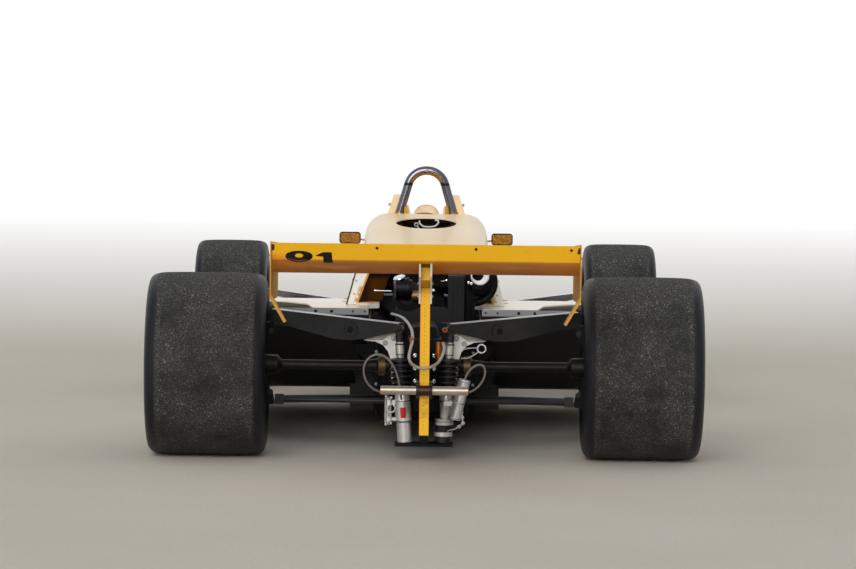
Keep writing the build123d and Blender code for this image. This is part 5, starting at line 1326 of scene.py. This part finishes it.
yellow, enamel_colour, enamel_grime = enamel("yellow enamel", (242, 184, 22), (232, 164, 18))
wing_z, wing_y, wing_x = yellow.axis("Z"), yellow.axis("Y"), abs(yellow.axis("X"))
left_end = yellow.axis("X").under(-0.53, -0.38)
rear_wing_only = wing_y.under(-1.90, -1.89)
facing_way = {0: yellow.node("ShaderNodeNewGeometry", out="Normal")}
upward = yellow.node("ShaderNodeSeparateXYZ", {}, facing_way, out="Z")
# Painted shade: the rear wing's underside in darker brown orange, higher at the left end, paler at the tips
# as painted light, with painted glints.
painted_shade_under_wing = (wing_z - left_end * 0.022).under(0.748, 0.766) * rear_wing_only * upward.under(0.2, 0.4)
shade_mottle = yellow.noise(5, 5, yellow.stretched(0.3, 1, 1), 0.6).over(0.3, 0.75)
painted_tip_light = wing_x.over(0.34, 0.50)
painted_underside_shade = yellow.mix(shade_mottle, (214, 124, 18), (186, 92, 12))
painted_underside_shade = yellow.mix(painted_tip_light * 0.7, painted_underside_shade, (240, 150, 26))
painted_glint = yellow.noise(7, 4, yellow.stretched(0.4, 1, 2.2), 0.6).over(0.60, 0.72)
painted_glint = painted_glint * wing_z.under(0.735, 0.752)
painted_underside_shade = yellow.mix(painted_glint * 0.5, painted_underside_shade, (246, 186, 104))
# A near black patch between the post's lugs is painted shadow.
painted_shadow_at_lugs = wing_x.under(0.0160, 0.0165) * wing_z.within(0.7345, 0.7490) * wing_y.under(-2.20, -2.19)
chip_noise = yellow.noise(38, 4, rough=0.7)
chip = wing_x.over(0.500, 0.522) * wing_z.within(0.792, 0.811, 0.006) * rear_wing_only
chip = (chip * chip_noise * 2.2).over(0.78, 0.84)
painted = yellow.mix(painted_shadow_at_lugs, yellow.mix(painted_shade_under_wing * 0.9, enamel_colour, painted_underside_shade), (18, 13, 10))
yellow.wear(
    base_color=yellow.mix(chip, painted, (58, 44, 34)),
    roughness=0.3 + enamel_grime * 0.25 + chip * 0.3,
)
yellow.raised(yellow.noise(12, 2), 0.0004)
dress(yellow, "rear_wing", *pair("front_wing"))
# The end plates' duller tan is painted shade, a shaded copy of the yellow.
ends, end_plate_shade_colour, ends_grime = enamel("end plate shade enamel", (204, 150, 54), (176, 124, 42), 0.0)
ends.wear(base_color=end_plate_shade_colour, roughness=0.6 + ends_grime * 0.2)


WING_REAR = -2.285
PLATE_IN, PLATE_OUT = 0.5263, 0.5303


def end_plate(sign):
    """Flat plate, lower at its front edge, with a bent tongue at its lower rear corner."""

    def place(u, v, height):
        return sign * height, u, v

    outline = [(WING_REAR, 0.624), (WING_REAR, 0.816), (-2.279, 0.822), (-1.664, 0.784), (-1.628, 0.772)]
    outline += [(-1.604, 0.745), (-1.596, 0.705), (-1.600, 0.650), (-1.612, 0.612), (-1.640, 0.592)]
    outline += [(-1.680, 0.588)]
    flat = slab(outline[::-sign], PLATE_IN, PLATE_OUT, place, 0.0010)
    tongue = [(0.4740, 0.5480), (0.4825, 0.5450), (PLATE_OUT, 0.6270), (PLATE_OUT, 0.6420)]
    tongue += [(PLATE_IN, 0.6420), (0.5215, 0.6320)]
    return joined([flat, slab(sided(tongue, sign), 2.223, 2.279, flat_y, 0.0012)])


for side, sign in (("left", -1), ("right", 1)):
    end_piece = shown(f"end_plate_{side}", end_plate(sign), ends)
    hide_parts(f"endplate_{side}")

band_slope = math.atan2(0.018, 0.058)


def on_band(x, z):
    """A place on the wing's upright rear band."""
    return Vector((x, WING_REAR + (0.818 - z) * math.tan(band_slope), z))


band_way = Vector((0, -math.cos(band_slope), -math.sin(band_slope)))
wing_rivets = [rivet(on_band(-0.504 + i * 0.028, 0.7955), band_way, 0.0021) for i in range(37)]
shown("wing_rivets", joined(wing_rivets), yellow)
black_paint = mottled("black paint", (70, 4), (16, 11, 12), (30, 22, 20), 0.4, 0.2, specular_ior_level=0.2)
screw_head = [(0, 0.0052), (0.0016, 0.0046), (0.0020, 0.0003)]
screws = [turned(screw_head, on_band(x, 0.8030), band_way, 14) for x in (-0.1665, 0.1710, 0.4955)]
shown("wing_screws", joined(screws), black_paint)

CURL_Y, CURL_Z, CURL_R = -2.00904, 1.28260, 0.58280


def on_wing(x, z):
    """A place on the rear face of the wing, just proud of its band and of the curl beneath it."""
    if z > 0.7605:
        return on_band(x, z) + band_way * 0.0007
    depth = math.sqrt((CURL_R + 0.0008) ** 2 - (z - CURL_Z) ** 2)
    return Vector((x, CURL_Y - depth, z))


def ribbon(left, right):
    """A painted stroke between two edges, each a row of (x, z) from its top to its foot."""
    points = [on_wing(x, z) for pair_of_ends in zip(left, right) for x, z in pair_of_ends]
    faces = [(2 * i, 2 * i + 1, 2 * i + 3, 2 * i + 2) for i in range(len(left) - 1)]
    return points, faces


def drawn(first, last, steps=14):
    """A straight edge cut into steps, so that it can follow the wing's curl."""
    (x, z), (wide, high) = first, (last[0] - first[0], last[1] - first[1])
    return [(x + wide * k / steps, z + high * k / steps) for k in range(steps + 1)]


def bowl(x, z, wide, high, hole_wide, hole_high, start, end, steps=44):
    """Part of a ring round (x, z), between two angles in degrees, in five bands that follow the curl."""
    turns, rings = [math.radians(start + (end - start) * k / steps) for k in range(steps + 1)], []
    for k in range(6):
        w, h = wide + (hole_wide - wide) * k / 5, high + (hole_high - high) * k / 5
        rings.append([(x + w * math.cos(a), z + h * math.sin(a)) for a in turns])
    return joined([ribbon(outer_edge, inner_edge) for outer_edge, inner_edge in zip(rings, rings[1:])])


nine = (
    # wide, high, hole's width and height, first and last angle: the head, the tail and its thicker end
    (0.0460, 0.0165, 0.0140, 0.0075, 0, 360),
    (0.0470, 0.0240, 0.0440, 0.0190, -172, -20),
    (0.0470, 0.0240, 0.0300, 0.0130, -48, 0),
)
stem = drawn((-0.3520, 0.7870), (-0.3480, 0.7490)), drawn((-0.3210, 0.7870), (-0.3170, 0.7490))
flag = drawn((-0.3740, 0.7765), (-0.3510, 0.7865), 4), drawn((-0.3740, 0.7735), (-0.3510, 0.7715), 4)
figures = [bowl(-0.4320, 0.7745, *stroke) for stroke in nine] + [ribbon(*stem), ribbon(*flag)]
shown("wing_number", joined(figures), black_paint, crease=80)


def endplate_fixings(sign):
    places = ((-2.235, 0.772), (-2.120, 0.735), (-1.990, 0.728))
    return [bolt((sign * (PLATE_OUT + 0.0001), y, z), (sign, 0, 0), 0.0042, 0.004) for y, z in places]


def front_wing_fixings(sign):
    heads = []
    for y in (2.140, 1.960):
        for x in (0.250, 0.370, 0.490, 0.610, 0.700):
            heads.append(rivet((sign * x, y, 0.1555 if y > 2.1 else 0.1680), (0, 0.05, 1), 0.0030))
    for y, z in ((2.100, 0.140), (1.950, 0.150), (1.850, 0.200)):
        heads.append(bolt((sign * 0.7241, y, z), (sign, 0, 0), 0.0045, 0.004))
    return heads


shown("endplate_bolts", mirrored_both(endplate_fixings), pin)
shown("front_wing_fixings", mirrored_both(front_wing_fixings), pin)


# Wing post and jack bar
# A yellow box section with a row of small holes up its rear face and grey alloy lugs at its head. Two dark
# clamps hold a bronze grey tube to it, open at its ends, by which quick jacks lift the car.
POST_FACE, CLAMP_FACE = -2.1200, -2.1300
post_paint, post_colour, post_grime = enamel("post enamel", (246, 190, 30), (238, 176, 24))
post_x, post_y, post_z = post_paint.axis("X"), post_paint.axis("Y"), post_paint.axis("Z")
lugs = abs(post_x).over(0.0166, 0.0168)
shaded = post_z.within(0.6550, 0.6905) * post_y.under(-2.1215, -2.1210) * (1 - lugs)
head_tint = post_z.over(0.6905, 0.6910)
# A brown patch on the post below the jack bar is the bar's painted shadow.
painted_bar_shadow = post_paint.noise(30, 5).over(0.35, 0.7) * post_z.within(0.212, 0.285, 0.012)
face = post_paint.mix(head_tint * 0.6, post_colour, (206, 176, 52))
face = post_paint.mix(painted_bar_shadow * 0.55, face, (122, 74, 24))
face = post_paint.mix(shaded * 0.8, face, (150, 96, 40))
edge = post_x.within(-0.0166, -0.0128)
face = post_paint.mix(edge * 0.55, face, (232, 140, 52))
post_paint.wear(
    base_color=post_paint.mix(lugs, face, (206, 204, 198)),
    roughness=0.32 + post_grime * 0.25,
)
dress(post_paint, "wing_post")
hole = [(0.0004, 0.0014), (0.0004, 0.0001)]
holes = [turned(hole, (-0.0018, POST_FACE, 0.170 + i * 0.0135), TO_REAR, 8) for i in range(36)]
hole_dark = mottled("hole shadow", (200, 2), (92, 62, 16), (60, 40, 12), 0.7)
shown("post_holes", joined(holes), hole_dark)


def post_bolts(sign):
    return [bolt((sign * 0.0226, -2.094, z), (sign, 0, 0), 0.0048, 0.005) for z in (0.628, 0.672)]


shown("post_bolts", mirrored_both(post_bolts), pin)

bronze = Finish("bronze grey", metallic=0.8)
stain = bronze.noise(22, 4)
brushed_bar = bronze.noise(60, 4, bronze.stretched(0.15, 1, 1))
bar_metal = bronze.mix(stain, (200, 190, 174), (148, 136, 120))
# Between the clamps the tube is painted dark brown: painted shade.
shade_between_clamps = abs(bronze.axis("X")).under(0.0170, 0.0180)
bronze.wear(
    base_color=bronze.mix(shade_between_clamps, bar_metal, (70, 48, 34)),
    roughness=0.26 + brushed_bar * 0.22,
)
bronze.raised(brushed_bar, 0.00015)
dress(bronze, "jack_bar")
JACK = Vector((0, -2.1383, 0.305))
JACK_HALF, CLAMP_HALF = 0.151, 0.0055


def bar_clamp(sign):
    """One clamp round the tube, with its block and two bolts."""
    x = sign * 0.0225
    ring = turned(collar(CLAMP_HALF, 0.0182, 0.0226), JACK + Vector((x, 0, 0)), (1, 0, 0), 28)
    block = brick((x - CLAMP_HALF, CLAMP_FACE, 0.276), (x + CLAMP_HALF, -2.0900, 0.334), 0.0015)
    return [ring, block] + [bolt((x, CLAMP_FACE, z), TO_REAR, 0.0042, 0.006) for z in (0.2815, 0.3285)]


def bar_bore(sign):
    """Near black disc in the tube's end, painted shade for its open inside."""
    end = JACK + Vector((sign * JACK_HALF, 0, 0))
    return [turned([(0.0003, 0.0118), (0.0003, 0.0002)], end, (sign, 0, 0), 24)]


shown("bar_clamps", mirrored_both(bar_clamp), satin)
shown("bar_bores", mirrored_both(bar_bore), soot_box)


# Hoses
# A steel braided hose that loops behind the post, and two thin lines from the dampers' canisters, each with
# both of its ends screwed into the car. They take the place of the CAD hoses, on the same routes.
braid = Finish("steel braid", metallic=0.75)
twill = braid.node("ShaderNodeTexVoronoi", {"feature": "F1"}, {"Vector": braid.place, "Scale": 620.0})
braid.wear(base_color=braid.mix(twill, (206, 198, 190), (132, 122, 114)), roughness=0.3 + twill * 0.3)
braid.raised(twill, 0.0005)
line_skin = mottled("line skin", (40, 3), (160, 152, 146), (112, 105, 99), 0.4, 0.2, metallic=0.4)


def hose(name, route, radius, finish, body="chassis"):
    """A hose on one smooth curve through its route."""
    curve = bpy.data.curves.new(name, "CURVE")
    curve.dimensions = "3D"
    curve.bevel_depth, curve.bevel_resolution, curve.resolution_u = radius, 5, 8
    curve.use_fill_caps = True
    spline = curve.splines.new("NURBS")
    spline.points.add(len(route) - 1)
    for point, place in zip(spline.points, route):
        point.co = (*place, 1)
    spline.order_u = 3
    spline.use_endpoint_u = True
    curve.materials.append(finish.material)
    piece = bpy.data.objects.new(name, curve)
    scene.collection.objects.link(piece)
    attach(piece, body)
    return piece


BRAID_ROUTE = (
    (-0.122, -1.240, 0.502),
    (-0.104, -1.370, 0.508),
    (-0.078, -1.500, 0.508),
    (-0.056, -1.625, 0.494),
    (-0.044, -1.740, 0.476),
    (-0.043, -1.860, 0.452),
    (-0.052, -1.975, 0.428),
    (-0.056, -2.080, 0.408),
    (-0.042, -2.152, 0.392),
    (0.0, -2.174, 0.382),
    (0.042, -2.150, 0.396),
    (0.058, -2.078, 0.412),
    (0.066, -1.970, 0.424),
    (0.069, -1.855, 0.430),
    (0.066, -1.745, 0.432),
    (0.064, -1.650, 0.430),
    (0.068, -1.590, 0.426),
    (0.083, -1.556, 0.419),
)
LEFT_ROUTE = (
    (-0.081, -1.572, 0.219),
    (-0.084, -1.592, 0.240),
    (-0.088, -1.606, 0.275),
    (-0.098, -1.612, 0.318),
    (-0.118, -1.618, 0.358),
    (-0.150, -1.622, 0.386),
    (-0.186, -1.624, 0.384),
    (-0.213, -1.622, 0.358),
    (-0.219, -1.618, 0.320),
    (-0.206, -1.610, 0.282),
    (-0.180, -1.597, 0.257),
    (-0.155, -1.581, 0.247),
    (-0.139, -1.565, 0.240),
    (-0.131, -1.550, 0.228),
)
RIGHT_ROUTE = (
    (0.1445, -1.640, 0.3015),
    (0.150, -1.640, 0.318),
    (0.164, -1.640, 0.338),
    (0.186, -1.638, 0.354),
    (0.207, -1.634, 0.354),
    (0.218, -1.630, 0.334),
    (0.213, -1.626, 0.304),
    (0.196, -1.622, 0.276),
    (0.170, -1.616, 0.256),
    (0.144, -1.609, 0.248),
    (0.128, -1.603, 0.239),
    (0.120, -1.600, 0.2246),
)
for name, route, radius, finish, length in (
    ("hose_braided", BRAID_ROUTE, 0.0055, braid, 1.60),
    ("line_left", LEFT_ROUTE, 0.004, line_skin, 0.45),
    ("line_right", RIGHT_ROUTE, 0.004, line_skin, 0.26),
):
    piece = hose(f"{name}_run", route, radius, finish)
    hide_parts(name)


# Mirrors
# Small black shells, each on a stalk from a strip that is screwed to the surround, with glass in a raised
# rim, coloured amber as a painted reflection of the yellow wing.
dress(dark_box, *pair("mirror"))
glass = Finish("mirror glass", metallic=1.0)
film = glass.noise(60, 3)
ripple = glass.noise(150, 4, rough=0.6).over(0.35, 0.65)
# The glass's amber is painted reflection of the yellow wing.
glass.wear(base_color=glass.mix(ripple, (204, 146, 66), (122, 78, 30)), roughness=0.08 + film * 0.1)


def corners_rounded(half_w, half_h, radius, steps=5):
    """A rectangle about its own middle, each corner an arc."""
    outline = []
    for cx, cz, start in ((1, 1, 0), (-1, 1, 90), (-1, -1, 180), (1, -1, 270)):
        for k in range(steps + 1):
            a = math.radians(start + 90 * k / steps)
            x, z = cx * (half_w - radius), cz * (half_h - radius)
            outline.append((x + radius * math.cos(a), z + radius * math.sin(a)))
    return outline


MIRROR_X, MIRROR_Y, MIRROR_Z = 0.306, 0.330, 0.693
wide = corners_rounded(0.0415, 0.0225, 0.007)
narrow = corners_rounded(0.0385, 0.0195, 0.004)


def mirror_glass(sign):
    outline = [(sign * MIRROR_X + u, MIRROR_Z + v) for u, v in narrow]
    return [slab(outline, 0.0002 - MIRROR_Y, 0.0022 - MIRROR_Y, flat_y, 0.0003)]


def mirror_rim(sign):
    """Raised rim round the glass: out along the shell's edge, and back in to the glass."""
    rings = ((wide, 0.0002), (wide, 0.0036), (narrow, 0.0036), (narrow, 0.0006))
    x = sign * MIRROR_X
    rim = [Vector((x + u, MIRROR_Y - behind, MIRROR_Z + v)) for ring, behind in rings for u, v in ring]
    return [(rim, wrapped(len(wide), 4))]


def mirror_brackets(sign):
    """A short stalk from the shell to a strip on the surround."""
    route = ((0.242, 0.336, 0.684), (0.256, 0.335, 0.685), (0.268, 0.336, 0.688))
    stalk = tube([(sign * x, y, z) for x, y, z in route], 0.0035, 8, 1)
    low, high = sorted((sign * 0.2370, sign * 0.2450))
    return [stalk, brick((low, 0.334, 0.6180), (high, 0.340, 0.7030), 0.0015)]


shown("mirror_glass", mirrored_both(mirror_glass), glass)
shown("mirror_rims", mirrored_both(mirror_rim), dark_box)
bracket_paint = mottled("bracket paint", (60, 4), (196, 160, 104), (140, 106, 60), 0.4, 0.2, metallic=0.3)
shown("mirror_brackets", mirrored_both(mirror_brackets), bracket_paint)
